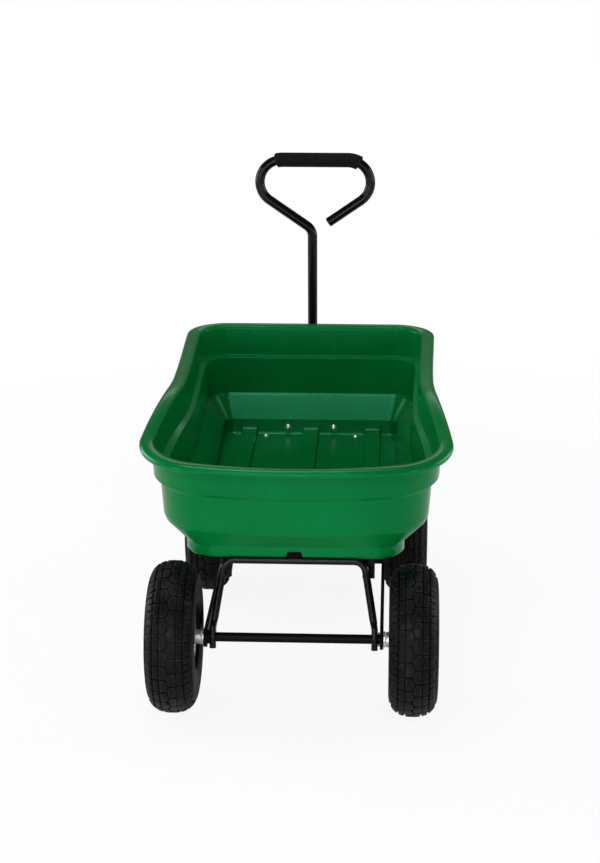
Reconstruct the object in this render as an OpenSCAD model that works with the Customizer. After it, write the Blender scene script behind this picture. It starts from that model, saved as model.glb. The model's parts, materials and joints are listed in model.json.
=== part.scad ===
// Four-wheeled garden tipping cart. A moulded tray sits on a tipping frame that
// turns about the rear axle; two flat side rails, a crossbar and a spine join the
// rear axle to a kingpin, and a steered front axle carries the tongue and the
// upright pull handle. X is across the cart, +Y is towards the handle, +Z is up,
// and the origin lies on the ground under the middle of the cart.

/* [Wheels] */
// Outer diameter of a tyre
tyre_d = 260; // [250:2:276]
// Width of a tyre over its sidewalls
tyre_w = 84; // [78:1:88]
// Thickness of the tyre casing at the sidewall
tyre_wall = 6; // [4:0.5:8]
// Thickness of the tyre under the tread
tread_t = 9; // [7:0.5:12]
// Diameter over the rim flanges
rim_d = 108; // [102:1:114]
// Width over the rim flanges
rim_w = 64; // [60:1:68]
// Thickness of the pressed rim steel
rim_t = 2; // [1.5:0.25:2.5]
// Height of a rim flange above the tyre bead seat
flange_h = 4.5; // [3:0.5:6]
// Diameter of the rim barrel between the bead seats
barrel_d = 80; // [76:1:84]
// Outer diameter of a hub tube
hub_d = 26; // [24:0.5:30]
// How far a hub tube reaches outboard of the wheel's centre plane
hub_out = 32; // [26:1:34]
// Outer diameter of the nylon bushes in a hub
bush_d = 20; // [19:0.5:22]
// Length of a bush inside the hub
bush_len = 18; // [12:1:24]
// Pitch circle diameter of the rim bolts
rim_bolt_pcd = 48; // [44:1:50]
// Number of bolts that join the two halves of a rim
rim_bolt_n = 4; // [3:1:6]
// Gap between the inner tube and the casing at the crown
tube_gap = 9.5; // [6:0.5:12]

/* [Axles] */
// Diameter of the axle bars
axle_d = 16; // [14:0.5:18]
// Distance between the wheel centre planes of one axle
track = 408; // [400:2:420]
// How much nearer the front wheels stand to the cart's middle than the rear ones
front_inset = 12; // [0:1:16]
// Distance from the rear axle to the front axle
wheelbase = 570; // [560:2:600]
// Thickness of the axle washers
washer_t = 2.4; // [1.6:0.2:3]
// Outer diameter of the axle washers
washer_d = 28; // [26:1:34]
// Diameter of the split pins
split_pin_d = 3.2; // [2.5:0.1:4]
// Length of axle beyond a split pin
axle_end = 5; // [4:0.5:8]

/* [Chassis] */
// Gap between a side rail and the tyre beside it
rail_gap = 9; // [7:0.5:14]
// Thickness of the side rails
rail_t = 6; // [4:0.5:8]
// Height of the side rails
rail_h = 30; // [28:1:36]
// Distance from the rear axle to the front end of the side rails
rail_len = 345; // [300:5:350]
// How far the side rails reach behind the rear axle
rail_tail = 18; // [16:1:26]
// Corner chamfer of the side rails' rear ends
rail_chamfer = 8; // [4:1:10]
// Width and height of the crossbar tube
crossbar_w = 25; // [20:1:30]
// Wall of the crossbar and of the spine
box_wall = 2.5; // [1.5:0.25:3]
// Width of the spine tube
spine_w = 40; // [36:1:46]
// Height of the spine tube
spine_h = 30; // [24:1:34]
// Distance from the rear axle to the front end of the spine
spine_end = 755; // [745:1:760]
// Outer diameter of the kingpin sleeve
sleeve_d = 32; // [28:1:36]

/* [Steering] */
// Diameter of the kingpin
kingpin_d = 16; // [14:0.5:18]
// Thickness of the steering yoke's top plate
yoke_t = 6; // [4:0.5:8]
// Thickness of the yoke's cheeks
yoke_cheek_t = 5; // [4:0.5:8]
// Width over the yoke's cheeks
yoke_w = 70; // [64:1:80]
// Length of the yoke's top plate
yoke_len = 64; // [56:1:72]
// Width of the tongue tube
tongue_w = 30; // [26:1:34]
// Height of the tongue tube
tongue_h = 20; // [18:1:24]
// Distance from the kingpin to the handle pivot
tongue_reach = 256; // [250:1:270]
// Diameter of the handle pivot bolt
pivot_d = 10; // [8:0.5:12]
// Outer diameter of the spacer tubes on the front axle
spacer_d = 22; // [20:0.5:26]

/* [Handle] */
// Outer diameter of the handle tube
handle_d = 19; // [18:0.5:22]
// Wall of the handle tube
handle_wall = 1.5; // [1:0.25:2.5]
// Height of the grip's centre line above the handle pivot
handle_h = 670; // [640:5:700]
// Rearward lean of the handle when it stands on its stop
handle_lean = 3; // [2.5:0.1:4]
// Radius of the first bend
handle_bend_r = 26; // [22:1:34]
// Radius of the two top bends
loop_r = 45; // [40:1:48]
// Reach of the loop from the rod, on the side of the diagonal
loop_left = 104; // [98:1:110]
// Reach of the loop from the rod, on the open side
loop_right = 115; // [108:1:120]
// Distance from the rod to the cut end of the tube
loop_gap = 32; // [28:1:44]
// Angle of the loop's lower tubes above level
loop_slope = 35; // [32:1:38]
// Outer diameter of the foam grip
grip_d = 28.5; // [26:0.5:32]
// Radial gap between the grip and the tube
grip_fit = 0.1; // [0.05:0.05:0.3]
// Length of the grip past the straight top tube, on the diagonal side
grip_left = 12; // [6:1:18]
// Length of the grip past the straight top tube, on the open side
grip_right = 25; // [16:1:32]
// Thickness of the handle fork's plates
fork_t = 4; // [3:0.5:6]
// Height of the fork's web above the pivot
fork_h = 46; // [40:1:60]

/* [Tray] */
// Gap between the tyres and the underside of the tray
tray_gap = 5; // [4:0.5:8]
// Wall thickness of the tray
tray_wall = 4; // [3:0.25:5]
// Depth of the tray at the dump end
depth_near = 171; // [162:1:176]
// Depth of the tray at the front end
depth_far = 223; // [215:1:230]
// Distance from the rear axle to the foot of the dump end
tray_near = 30; // [26:1:34]
// Distance from the rear axle to the foot of the front end
tray_far = 724; // [720:1:728]
// Half width of the tray's foot at the dump end, the waist and the front end
foot_half = [182, 169, 172];
// Half width that the sides gain up to the rim at the same three places
side_flare = [69, 47, 51];
// Length that each end gains up to the rim
end_flare = 30; // [24:1:32]
// How far the middle of the rim bows out past its corners at the dump end
end_bow = 46; // [30:1:52]
// Width of the rolled rim
rim_lip = 22; // [18:1:26]
// Height of the rolled rim
lip_drop = 13; // [10:1:16]
// Height of the vertical foot wall, dump end
foot_h_near = 19; // [16:1:22]
// Height of the vertical foot wall, front end
foot_h_far = 31; // [26:1:34]
// Height of the lower step, dump end
low_step_near = 45; // [40:1:52]
// Height of the lower step, front end
low_step_far = 74; // [66:1:80]
// Height of the upper step, dump end
high_step_near = 113; // [104:1:118]
// Height of the upper step, front end
high_step_far = 158; // [148:1:166]
// Corner radius of the foot at the dump end
foot_r_near = 46; // [36:1:54]
// Corner radius of the foot at the front end
foot_r_far = 18; // [14:1:30]
// Corner radius of the rim at the dump end
rim_r_near = 75; // [66:1:84]
// Corner radius of the rim at the front end
rim_r_far = 58; // [50:1:66]
// Where the rim starts to rise, from the rear axle
rise_from = -20; // [-30:1:0]
// Where the rim reaches its full height
rise_to = 300; // [260:5:340]
// Width of a floor rib
rib_w = 34; // [28:1:38]
// Height of a floor rib
rib_h = 10; // [6:0.5:12]
// Distance between the middles of two ribs
rib_pitch = 124; // [120:1:128]

/* [Tipping frame] */
// Diameter of the hoop bar
hoop_d = 13; // [11:0.5:14]
// Gap between a side rail and the hoop's eye inside it
eye_gap = 3.5; // [3:0.25:6]
// How far each leg of the hoop leans inwards up to the top bar
hoop_lean_in = 19; // [15:0.5:23]
// How far the hoop leans forward at its top bar
hoop_fwd = 34; // [30:1:37]
// Bend radius of the hoop's corners
hoop_r = 20; // [16:1:24]
// Thickness of the hoop's flattened eyes
eye_t = 11; // [9:0.5:12]
// Width of the hoop's flattened eyes
eye_w = 28; // [25:0.5:32]
// Length of an eye below the axle's centre line
eye_drop = 20; // [17:0.5:22]
// Width of a tray bearer's flange
bearer_w = 30; // [28:1:34]
// Height of a tray bearer's web
bearer_h = 18; // [14:1:24]
// Thickness of the tray bearers
bearer_t = 3; // [2:0.5:4]
// Distance from the cart's middle to the outer face of a bearer
bearer_x = 110; // [106:1:114]
// How much wider the right bearer is than the left one
bearer_extra = 9; // [0:0.5:11]
// Drop of a bearer's rear tab below the tray
tab_drop = 36; // [30:1:42]
// Width of a bearer's rear tab
tab_w = 21; // [16:1:24]

/* [Latch] */
// Distance from the cart's middle to each bolt in the front wall
wall_bolt_x = 46; // [40:1:54]
// Height of the wall bolts above the tray's underside
wall_bolt_h = 18; // [15:0.5:20]
// Distance from the cart's middle to each bolt in the floor
floor_bolt_x = 90; // [88:0.5:92]
// Distance from the tray's front foot to the front floor bolts
floor_bolt_in = 12; // [11:0.5:16]
// Distance from the tray's rear foot to the rear floor bolts
floor_bolt_rear = 64; // [50:1:80]
// Diameter of the tray bolts
tray_bolt_d = 6; // [5:0.5:7]
// Diameter of the domed bolt heads
dome_d = 13; // [12:0.5:15]
// Thickness of the striker plate
striker_t = 4; // [3:0.5:5]
// Thickness of the front strap under the tray
strap_t = 5; // [4:0.5:6]
// Thickness of the rubber rest pad
pad_t = 6; // [4:0.5:8]
// Thickness of the latch stand's plates
stand_t = 4; // [3:0.5:5]
// Diameter of the latch pin
latch_pin_d = 8; // [6:0.5:10]
// Width of the latch lever
lever_w = 14; // [10:1:18]
// Gap between the latch's pedal and the upright handle
pedal_gap = 11; // [8:1:24]

/* [Clearances] */
// Radial clearance of a part that turns on a pin or an axle
run_fit = 0.05; // [0.02:0.01:0.09]
// Gap between faces that slide past each other
face_gap = 0.3; // [0.2:0.1:0.4]
// Radial clearance of a pin in the piece that holds it
pin_fit = 0.02; // [0.01:0.01:0.05]
// Radial clearance of a bolt in its hole
bolt_fit = 0.3; // [0.2:0.1:0.6]
// Radial clearance of a washer or a spacer on its axle
washer_fit = 0.2; // [0.1:0.05:0.4]

/* [Hidden] */
CORNERS = ["rear_left", "rear_right", "front_left", "front_right"];
WHEEL_PARTS = ["tyre", "inner_tube", "rim_outer", "rim_inner", "hub", "bushes", "rim_bolts"];
$fn = 48;

axle_z = tyre_d / 2;
cheek_r = 14;
// The middle of the cart's length lies midway between the rear tyres' backs and the fork
pivot_y = wheelbase + tongue_reach;
centre_y = (pivot_y + cheek_r - tyre_d / 2) / 2;

// Wheel stack along the axle, from the cart's middle outwards
rail_out = track / 2 - tyre_w / 2 - rail_gap;
bush_flange_t = 2;
hub_in_x = rail_out + washer_t + 2 * face_gap + bush_flange_t;
hub_out_x = track / 2 + hub_out;
outer_washer_x = hub_out_x + bush_flange_t + face_gap;
split_pin_x = outer_washer_x + washer_t + face_gap + split_pin_d / 2;
axle_half = split_pin_x + axle_end;

// Heights
rail_top = axle_z + rail_h / 2;
crossbar_top = rail_top + crossbar_w;
spine_z = crossbar_top;
spine_top = spine_z + spine_h;
sleeve_reach = 4;
sleeve_bottom = spine_z - sleeve_reach;
sleeve_top = spine_top + sleeve_reach;
thrust_t = 4;
yoke_top = sleeve_bottom - thrust_t - face_gap;
yoke_under = yoke_top - yoke_t;
tongue_z = yoke_under - tongue_h;
pivot_z = tongue_z + tongue_h / 2;
tray_z = tyre_d + tray_gap;

// Steel colours
BLACK = [0.06, 0.06, 0.07];
ZINC = [0.78, 0.79, 0.80];
RUBBER = [0.10, 0.10, 0.11];
GREEN = [0.0, 0.42, 0.22];

// ---------- Helpers ----------

// Moves what is drawn from the rear axle's frame to the part's frame
module placed() { translate([0, -centre_y, 0]) children(); }

function lerp(a, b, t) = a + (b - a) * t;
function clamp01(t) = min(1, max(0, t));
function smooth(t) = (1 - cos(180 * clamp01(t))) / 2;
function soft_power(v, p) = sign(v) * pow(abs(v), p);

// The unit normal to the right of the step from a to b
function right_normal(a, b) = let (d = b - a) [d[1], -d[0]] / norm(d);

// Point i of path p moved t to the right, mitred at the corners
function mitred(p, i, t) =
    let (n = len(p),
         a = right_normal(p[max(i - 1, 0)], p[max(i, 1)]),
         b = right_normal(p[min(i, n - 2)], p[min(i + 1, n - 1)]),
         m = a + b)
    p[i] + m * (2 * t / (m * m));

// Closed outline of a sheet of thickness t that lies to the right of path p
function sheet(p, t) = concat(p, [for (i = [len(p) - 1 : -1 : 0]) mitred(p, i, t)]);

// A ring of the profile (x, radius), turned about the X axis
module turned() { rotate([90, 0, 90]) rotate_extrude($fn = 96) rotate(90) mirror([0, 1]) children(); }

// A round bar along X from x0 to x1
module bar_x(r, x0, x1) { translate([x0, 0, 0]) rotate([0, 90, 0]) cylinder(r = r, h = x1 - x0); }

// A round bar along Y from y0 to y1
module bar_y(r, y0, y1) { translate([0, y0, 0]) rotate([-90, 0, 0]) cylinder(r = r, h = y1 - y0); }

// A ring along X
module ring_x(r_out, r_in, x0, x1) {
    difference() {
        bar_x(r_out, x0, x1);
        bar_x(r_in, x0 - 1, x1 + 1);
    }
}

// A box given by its two corners
module block(a, b) { translate(a) cube(b - a); }

// A hexagonal prism along Z, af across its flats
module hexagon(af, h) { cylinder(d = af / cos(30), h = h, $fn = 6); }

// Where the fillet of radius r starts, measured back from corner b of the path a-b-c
function turn_angle(a, b, c) =
    let (u = (b - a) / norm(b - a), v = (c - b) / norm(c - b)) acos(max(-1, min(1, u * v)));
function setback(a, b, c, r) = r * tan(turn_angle(a, b, c) / 2);

// A round bar along the planar path pts (x, z) in the XZ plane, with bend radius radii[i]
// at point i. The bends are a hair slimmer, so that they end cleanly inside the straights.
bend_relief = 0.12;

module bent_bar(pts, radii, d) {
    n = len(pts);
    back = [for (i = [0 : n - 1]) i == 0 || i == n - 1 ? 0 : setback(pts[i - 1], pts[i], pts[i + 1], radii[i])];
    for (i = [0 : n - 2]) {
        run = norm(pts[i + 1] - pts[i]);
        u = (pts[i + 1] - pts[i]) / run;
        straight_bar(pts[i] + u * back[i], run - back[i] - back[i + 1], atan2(u[1], u[0]), d);
    }
    for (i = [1 : 1 : n - 2]) bar_bend(pts[i - 1], pts[i], pts[i + 1], radii[i], d - bend_relief);
}

module straight_bar(p, length, angle, d) {
    translate([p[0], 0, p[1]]) rotate([0, 90 - angle, 0]) cylinder(d = d, h = length);
}

// The bend at corner b, from share from to share to of its sweep
module bar_bend(a, b, c, r, d, from = 0, to = 1) {
    u = (b - a) / norm(b - a);
    v = (c - b) / norm(c - b);
    left = u[0] * v[1] - u[1] * v[0] > 0;
    side = left ? [-u[1], u[0]] : [u[1], -u[0]];
    middle = b - u * setback(a, b, c, r) + side * r;
    start = atan2(-side[1], -side[0]);
    over = 0.3 / r * 180 / PI;
    sweep = turn_angle(a, b, c);
    first = left ? start + sweep * from : start - sweep * to;
    translate([middle[0], 0, middle[1]]) rotate([90, 0, 0]) rotate([0, 0, first - over])
        rotate_extrude(angle = sweep * (to - from) + 2 * over, $fn = 96) translate([r, 0]) circle(d = d);
}

// ---------- Wheels ----------
// Each wheel is drawn about its own centre, with +X outboard.

function is_left(c) = c == "rear_left" || c == "front_left";
function is_rear(c) = c == "rear_left" || c == "rear_right";

module at_wheel(c) {
    out = track / 2 - (is_rear(c) ? 0 : front_inset);
    placed() translate([is_left(c) ? -out : out, is_rear(c) ? 0 : wheelbase, axle_z])
        mirror([is_left(c) ? 1 : 0, 0, 0]) children();
}

bead_r = rim_d / 2 - flange_h;
bead_t = 4.2;
section_r = (tyre_d / 2 + bead_r - bead_t) / 2;
section_h = tyre_d / 2 - section_r;
bead_x = rim_w / 2 - rim_t - face_gap;
// How square the section is towards the tread and towards the bead; 1 would be round
crown_power = 0.8;
bead_power = 0.57;
// The sidewall ends a little outside the rim flange and turns down to the bead there
flange_clear = 1;
sidewall_r = rim_d / 2 + flange_clear;
bead_angle = acos(-pow((section_r - sidewall_r - flange_clear) / section_h, 1 / bead_power));

// A point of the tyre's section at angle a from the crown
function tyre_point(a, half_w, crown_h) =
    let (p = abs(a) < 90 ? crown_power : bead_power)
    [half_w * soft_power(sin(a), p),
     section_r + (abs(a) < 90 ? crown_h : section_h) * soft_power(cos(a), p)];

module tyre(c) {
    steps = 16;
    angles = [for (i = [-steps : steps]) i * bead_angle / steps];
    outer = [for (a = angles) tyre_point(a, tyre_w / 2, section_h)];
    inner = [for (i = [len(angles) - 1 : -1 : 0])
        tyre_point(angles[i], tyre_w / 2 - tyre_wall, section_h - tread_t)];
    inside = bead_x - bead_t;
    chamfer = bead_t / 2;
    color(RUBBER) at_wheel(c) turned() polygon(concat(
        [[-bead_x + chamfer, bead_r], [-bead_x, bead_r + chamfer], [-bead_x, sidewall_r]], outer,
        [[bead_x, sidewall_r], [bead_x, bead_r + chamfer], [bead_x - chamfer, bead_r]],
        [[inside, bead_r], [inside, sidewall_r]], inner, [[-inside, sidewall_r], [-inside, bead_r]]));
}

// The inner tube fills the casing's hollow from just outside the bead up to the crown
tube_wall = 2;
tube_low = bead_r + 8;
tube_high = tyre_d / 2 - tread_t - tube_gap;
tube_d = tube_high - tube_low;
tube_r_mid = (tube_high + tube_low) / 2;
valve_x = (rim_w / 2 - rim_t) / 2;
valve_d = 8;
valve_cap_d = 9.6;
valve_cap_len = 9;

module inner_tube(c) {
    tip = hub_d / 2 + 4;
    color(RUBBER) at_wheel(c) {
        difference() {
            turned() translate([0, tube_r_mid]) circle(d = tube_d);
            turned() translate([0, tube_r_mid]) circle(d = tube_d - 2 * tube_wall);
        }
        difference() {
            translate([valve_x, 0, tip]) cylinder(d = valve_d, h = tube_low + 3 * tube_wall - tip);
            turned() translate([0, tube_r_mid]) circle(d = tube_d - tube_wall / 2);
        }
        translate([valve_x, 0, tip]) cylinder(d = valve_cap_d, h = valve_cap_len);
    }
}

// The tyre side of a pressed rim half, from the hub to the edge of the flange
module rim_half() {
    inside = rim_w / 2 - rim_t;
    barrel_r = barrel_d / 2;
    hub_gap = 0.1;
    seat_r = bead_r - 0.5;
    path = [[0, hub_d / 2 + hub_gap], [0, barrel_r - 9], [3, barrel_r - 3], [8, barrel_r - 0.5],
            [inside - 13, barrel_r], [inside - 9, seat_r], [inside - 2, seat_r],
            [inside, bead_r + 1], [inside + 0.2, rim_d / 2]];
    turned() polygon(sheet(path, rim_t));
}

module rim_bolt_places() {
    for (i = [0 : rim_bolt_n - 1]) rotate([45 + i * 360 / rim_bolt_n, 0, 0])
        translate([0, 0, rim_bolt_pcd / 2]) children();
}

rim_bolt_d = 6;
rim_bolt_af = 10;

module rim_outer(c) {
    color(ZINC) at_wheel(c) difference() {
        rim_half();
        rim_bolt_places() bar_x(rim_bolt_d / 2 + bolt_fit, -1, rim_t + 1);
        translate([valve_x, 0, 0]) cylinder(d = valve_d + 4 * bolt_fit, h = tube_low);
    }
}

module rim_inner(c) {
    color(ZINC) at_wheel(c) difference() {
        mirror([1, 0, 0]) rim_half();
        rim_bolt_places() bar_x(rim_bolt_d / 2 + bolt_fit, -rim_t - 1, 1);
    }
}

hub_in = track / 2 - hub_in_x;

module hub(c) {
    color(ZINC) at_wheel(c) ring_x(hub_d / 2, bush_d / 2, -hub_in, hub_out);
}

module bushes(c) {
    color("ivory") at_wheel(c) for (side = [[-1, hub_in], [1, hub_out]])
        mirror([side[0] < 0 ? 1 : 0, 0, 0]) difference() {
            union() {
                bar_x(bush_d / 2 - 0.01, side[1] - bush_len, side[1]);
                bar_x(hub_d / 2 - 0.5, side[1], side[1] + bush_flange_t);
            }
            bar_x(axle_d / 2 + run_fit, side[1] - bush_len - 1, side[1] + bush_flange_t + 1);
        }
}

module rim_bolts(c) {
    head_h = 4;
    nut_h = 5;
    thread_past = 2;
    color(ZINC) at_wheel(c) rim_bolt_places() {
        bar_x(rim_bolt_d / 2, -rim_t - nut_h - thread_past, rim_t);
        translate([rim_t, 0, 0]) rotate([0, 90, 0]) hexagon(rim_bolt_af, head_h);
        difference() {
            translate([-rim_t - nut_h, 0, 0]) rotate([0, 90, 0]) hexagon(rim_bolt_af, nut_h);
            bar_x(rim_bolt_d / 2, -rim_t - nut_h - 1, 0);
        }
    }
}

// ---------- Axles ----------

module on_axle(y) { placed() translate([0, y, axle_z]) children(); }
module both_sides() { for (s = [0, 1]) mirror([s, 0, 0]) children(); }

// In these, inset is how much nearer to the middle this axle's wheels stand than the rear ones
module axle_bar(y, inset) {
    chamfer = 1;
    half = axle_half - inset;
    on_axle(y) difference() {
        union() {
            bar_x(axle_d / 2, -half + chamfer, half - chamfer);
            both_sides() translate([half - chamfer, 0, 0]) rotate([0, 90, 0])
                cylinder(r1 = axle_d / 2, r2 = axle_d / 2 - chamfer, h = chamfer);
        }
        both_sides() translate([split_pin_x - inset, 0, 0])
            cylinder(r = split_pin_d / 2 + washer_fit, h = axle_d + 2, center = true);
    }
}

// Washers at the inner and the outer end of each hub
module axle_washers(y, inset) {
    on_axle(y) both_sides() for (x = [rail_out + face_gap - inset, outer_washer_x - inset])
        ring_x(washer_d / 2, axle_d / 2 + washer_fit, x, x + washer_t);
}

// Split pins, each a shank through the axle with a round eye on top
module split_pins(y, inset) {
    eye_r = 3.5;
    eye_wire = split_pin_d - 0.6;
    above = 2;
    below = 7;
    on_axle(y) both_sides() translate([split_pin_x - inset, 0, 0]) {
        translate([0, 0, -axle_d / 2 - below]) cylinder(d = split_pin_d, h = axle_d + above + below);
        translate([0, 0, axle_d / 2 + above + eye_r]) rotate([90, 0, 90])
            rotate_extrude() translate([eye_r, 0]) circle(d = eye_wire);
    }
}

module rear_axle() { color(BLACK) axle_bar(0, 0); }
module rear_washers() { color(ZINC) axle_washers(0, 0); }
module rear_split_pins() { color(ZINC) split_pins(0, 0); }
module front_axle() { color(BLACK) axle_bar(wheelbase, front_inset); }
module front_washers() { color(ZINC) axle_washers(wheelbase, front_inset); }
module front_split_pins() { color(ZINC) split_pins(wheelbase, front_inset); }

// Washers between the hoop's eyes and the side rails
module pivot_washers() {
    eye_out = hoop_span / 2 + eye_t / 2;
    color(BLACK) on_axle(0) both_sides()
        ring_x(washer_d / 2 - 2, axle_d / 2 + washer_fit, eye_out + face_gap, rail_out - rail_t - face_gap);
}

// Spacer tubes between the yoke and the front hubs
module front_spacers() {
    color(BLACK) on_axle(wheelbase) both_sides()
        ring_x(spacer_d / 2, axle_d / 2 + washer_fit, yoke_w / 2, rail_out - front_inset);
}

// ---------- Chassis ----------

module side_rail(side) {
    color(BLACK) placed() mirror([side < 0 ? 1 : 0, 0, 0]) difference() {
        translate([rail_out, 0, axle_z]) rotate([90, 0, -90]) linear_extrude(rail_t) polygon([
            [rail_tail, -rail_h / 2 + rail_chamfer], [rail_tail, rail_h / 2 - rail_chamfer],
            [rail_tail - rail_chamfer, rail_h / 2], [-rail_len, rail_h / 2],
            [-rail_len, -rail_h / 2], [rail_tail - rail_chamfer, -rail_h / 2]]);
        translate([0, 0, axle_z]) bar_x(axle_d / 2 + run_fit, rail_out - rail_t - 1, rail_out + 1);
    }
}

module side_rails() { for (side = [-1, 1]) side_rail(side); }

// A square tube across the front ends of the side rails
module crossbar() {
    y0 = rail_len - crossbar_w;
    color(BLACK) placed() difference() {
        block([-rail_out, y0, rail_top], [rail_out, rail_len, crossbar_top]);
        block([-rail_out - 1, y0 + box_wall, rail_top + box_wall],
              [rail_out + 1, rail_len - box_wall, crossbar_top - box_wall]);
    }
}

// A rectangular tube from the crossbar forward over the kingpin to the latch stand
module spine() {
    half = spine_w / 2;
    color(BLACK) placed() difference() {
        block([-half, rail_len - crossbar_w, spine_z], [half, spine_end, spine_top]);
        block([-half + box_wall, rail_len - crossbar_w - 1, spine_z + box_wall],
              [half - box_wall, spine_end + 1, spine_top - box_wall]);
        translate([0, wheelbase, spine_z - 1]) cylinder(d = sleeve_d + 0.1, h = spine_h + 2);
    }
}

module kingpin_sleeve() {
    color(BLACK) placed() translate([0, wheelbase, sleeve_bottom]) difference() {
        cylinder(d = sleeve_d, h = sleeve_top - sleeve_bottom);
        translate([0, 0, -1]) cylinder(r = kingpin_d / 2 + run_fit, h = sleeve_top - sleeve_bottom + 2);
    }
}

// ---------- Tray ----------

// Half width of the tray at share t of its length, for the widths w at its three places
function waisted(w, t) = t < 0.5 ? lerp(w[0], w[1], smooth(2 * t)) : lerp(w[1], w[2], smooth(2 * t - 1));

// How far the step and rim heights have risen at distance y from the rear axle
function risen(y) = smooth((y - rise_from) / (rise_to - rise_from));

corner_steps = 8;
side_steps = 14;
end_steps = 6;

// Right half of the tray's outline, from the middle of the dump end to that of the front.
// side and end are the shares of the flare reached, and inset moves the whole line inwards.
function half_outline(side, end, inset) =
    let (w = [for (i = [0 : 2]) foot_half[i] + side_flare[i] * side - inset],
         y0 = tray_near - end_flare * end + inset,
         y1 = tray_far + end_flare * end - inset,
         r0 = lerp(foot_r_near, rim_r_near, side) - inset,
         r1 = lerp(foot_r_far, rim_r_far, side) - inset,
         wide = function (y) waisted(w, (y - y0) / (y1 - y0)),
         square_on = concat(
            [for (i = [0 : end_steps - 1]) [(wide(y0) - r0) * i / end_steps, y0]],
            [for (i = [0 : corner_steps]) let (a = 90 * i / corner_steps, y = y0 + r0 * (1 - cos(a)))
                [wide(y) - r0 + r0 * sin(a), y]],
            [for (i = [1 : side_steps - 1]) let (y = lerp(y0 + r0, y1 - r1, i / side_steps)) [wide(y), y]],
            [for (i = [0 : corner_steps]) let (a = 90 * i / corner_steps, y = y1 - r1 * (1 - sin(a)))
                [wide(y) - r1 + r1 * cos(a), y]],
            [for (i = [end_steps - 1 : -1 : 0]) [(wide(y1) - r1) * i / end_steps, y1]]))
    [for (p = square_on) [p[0], p[1] + bowed(p, w[0], y0, y1) * side]];

// How far a rim point is drawn forward by the bow of the dump end, for half width w there
function bowed(p, w, y0, y1) =
    end_bow * pow(p[0] / w, 2) * clamp01(1 - 2 * (p[1] - y0) / (y1 - y0));

// A closed ring of points at heights near and far above the tray's underside
function tray_ring(row) =
    let (half = half_outline(row[0], row[1], row[2]), n = len(half),
         whole = concat(half, [for (i = [n - 2 : -1 : 1]) [-half[i][0], half[i][1]]]))
    [for (p = whole) [p[0], p[1], tray_z + lerp(row[3], row[4], risen(p[1]))]];

// Shares of the side flare and of the end flare that each level of the walls has reached
at_foot = [0.08, 0.12];
at_low_step = [0.64, 0.72];
over_low_step = [0.70, 0.78];
under_high_step = [0.77, 0.82];
at_high_step = [0.96, 0.94];
// Height over which the lower step slopes out, and the fall of the upper step's ledge
step_slope = 9;
ledge_fall = 5;

// Rows of the skin: share of side flare, share of end flare, inset, height near, height far
function level(shares, inset, near, far) = [shares[0], shares[1], inset, near, far];
edge = tray_wall;
outer_rows = [
    level([0, 0], 0, 0, 0),
    level(at_foot, 0, edge, edge),
    level(at_foot, 0, foot_h_near, foot_h_far),
    level(at_low_step, 0, low_step_near, low_step_far),
    level(over_low_step, 0, low_step_near + step_slope, low_step_far + step_slope),
    level(under_high_step, 0, high_step_near - ledge_fall, high_step_far - ledge_fall),
    level(at_high_step, 0, high_step_near, high_step_far),
    level([1, 1], 0, depth_near - lip_drop + 1, depth_far - lip_drop + 1)];
// Points of the rolled rim: how far outside the wall line, and how far below the top
rim_section = [[3, 6], [rim_lip - 5, 6], [rim_lip - 4, lip_drop], [rim_lip - 1, lip_drop],
               [rim_lip, lip_drop - 3], [rim_lip, 5], [rim_lip - 2, 1.5], [rim_lip - 6, 0], [3, 0],
               [-2, 2.5], [-edge, 7]];
lip_rows = [for (p = rim_section) level([1, 1], -p[0], depth_near - p[1], depth_far - p[1])];
inner_rows = [
    level(at_high_step, edge, high_step_near + edge, high_step_far + edge),
    level(under_high_step, edge, high_step_near + edge - ledge_fall, high_step_far + edge - ledge_fall),
    level(over_low_step, edge, low_step_near + edge + step_slope - 2, low_step_far + edge + step_slope - 2),
    level(at_low_step, edge, low_step_near + edge, low_step_far + edge),
    level(at_foot, edge, foot_h_near + edge, foot_h_far + edge),
    level(at_foot, edge, 2 * edge, 2 * edge),
    level([0, 0], edge, edge, edge)];

// The tray's walls and floor as one closed skin
module tray_shell() {
    rows = concat(outer_rows, lip_rows, inner_rows);
    rings = [for (row = rows) tray_ring(row)];
    n = len(rings[0]);
    last = (len(rings) - 1) * n;
    middle = (tray_near + tray_far) / 2;
    polyhedron(
        points = concat([for (ring = rings) for (p = ring) p],
                        [[0, middle, tray_z], [0, middle, tray_z + edge]]),
        faces = concat(
            [for (i = [0 : n - 1]) [last + n, i, (i + 1) % n]],
            [for (k = [0 : len(rings) - 2]) for (i = [0 : n - 1]) let (j = (i + 1) % n)
                [k * n + i, (k + 1) * n + i, (k + 1) * n + j]],
            [for (k = [0 : len(rings) - 2]) for (i = [0 : n - 1]) let (j = (i + 1) % n)
                [k * n + i, (k + 1) * n + j, k * n + j]],
            [for (i = [0 : n - 1]) [last + n + 1, last + (i + 1) % n, last + i]]),
        convexity = 10);
}

// A bar of trapezoid section along Y, w wide at its foot
module rib_bar(x, w, z0, h, y0, y1) {
    draft = 2;
    translate([x, y1, z0]) rotate([90, 0, 0]) linear_extrude(y1 - y0)
        polygon([[-w / 2, 0], [w / 2, 0], [w / 2 - draft, h], [-w / 2 + draft, h]]);
}

floor_bolt_y = [tray_near + floor_bolt_rear, tray_far - floor_bolt_in];
wall_out_y = tray_far + end_flare * at_foot[1];

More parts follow.
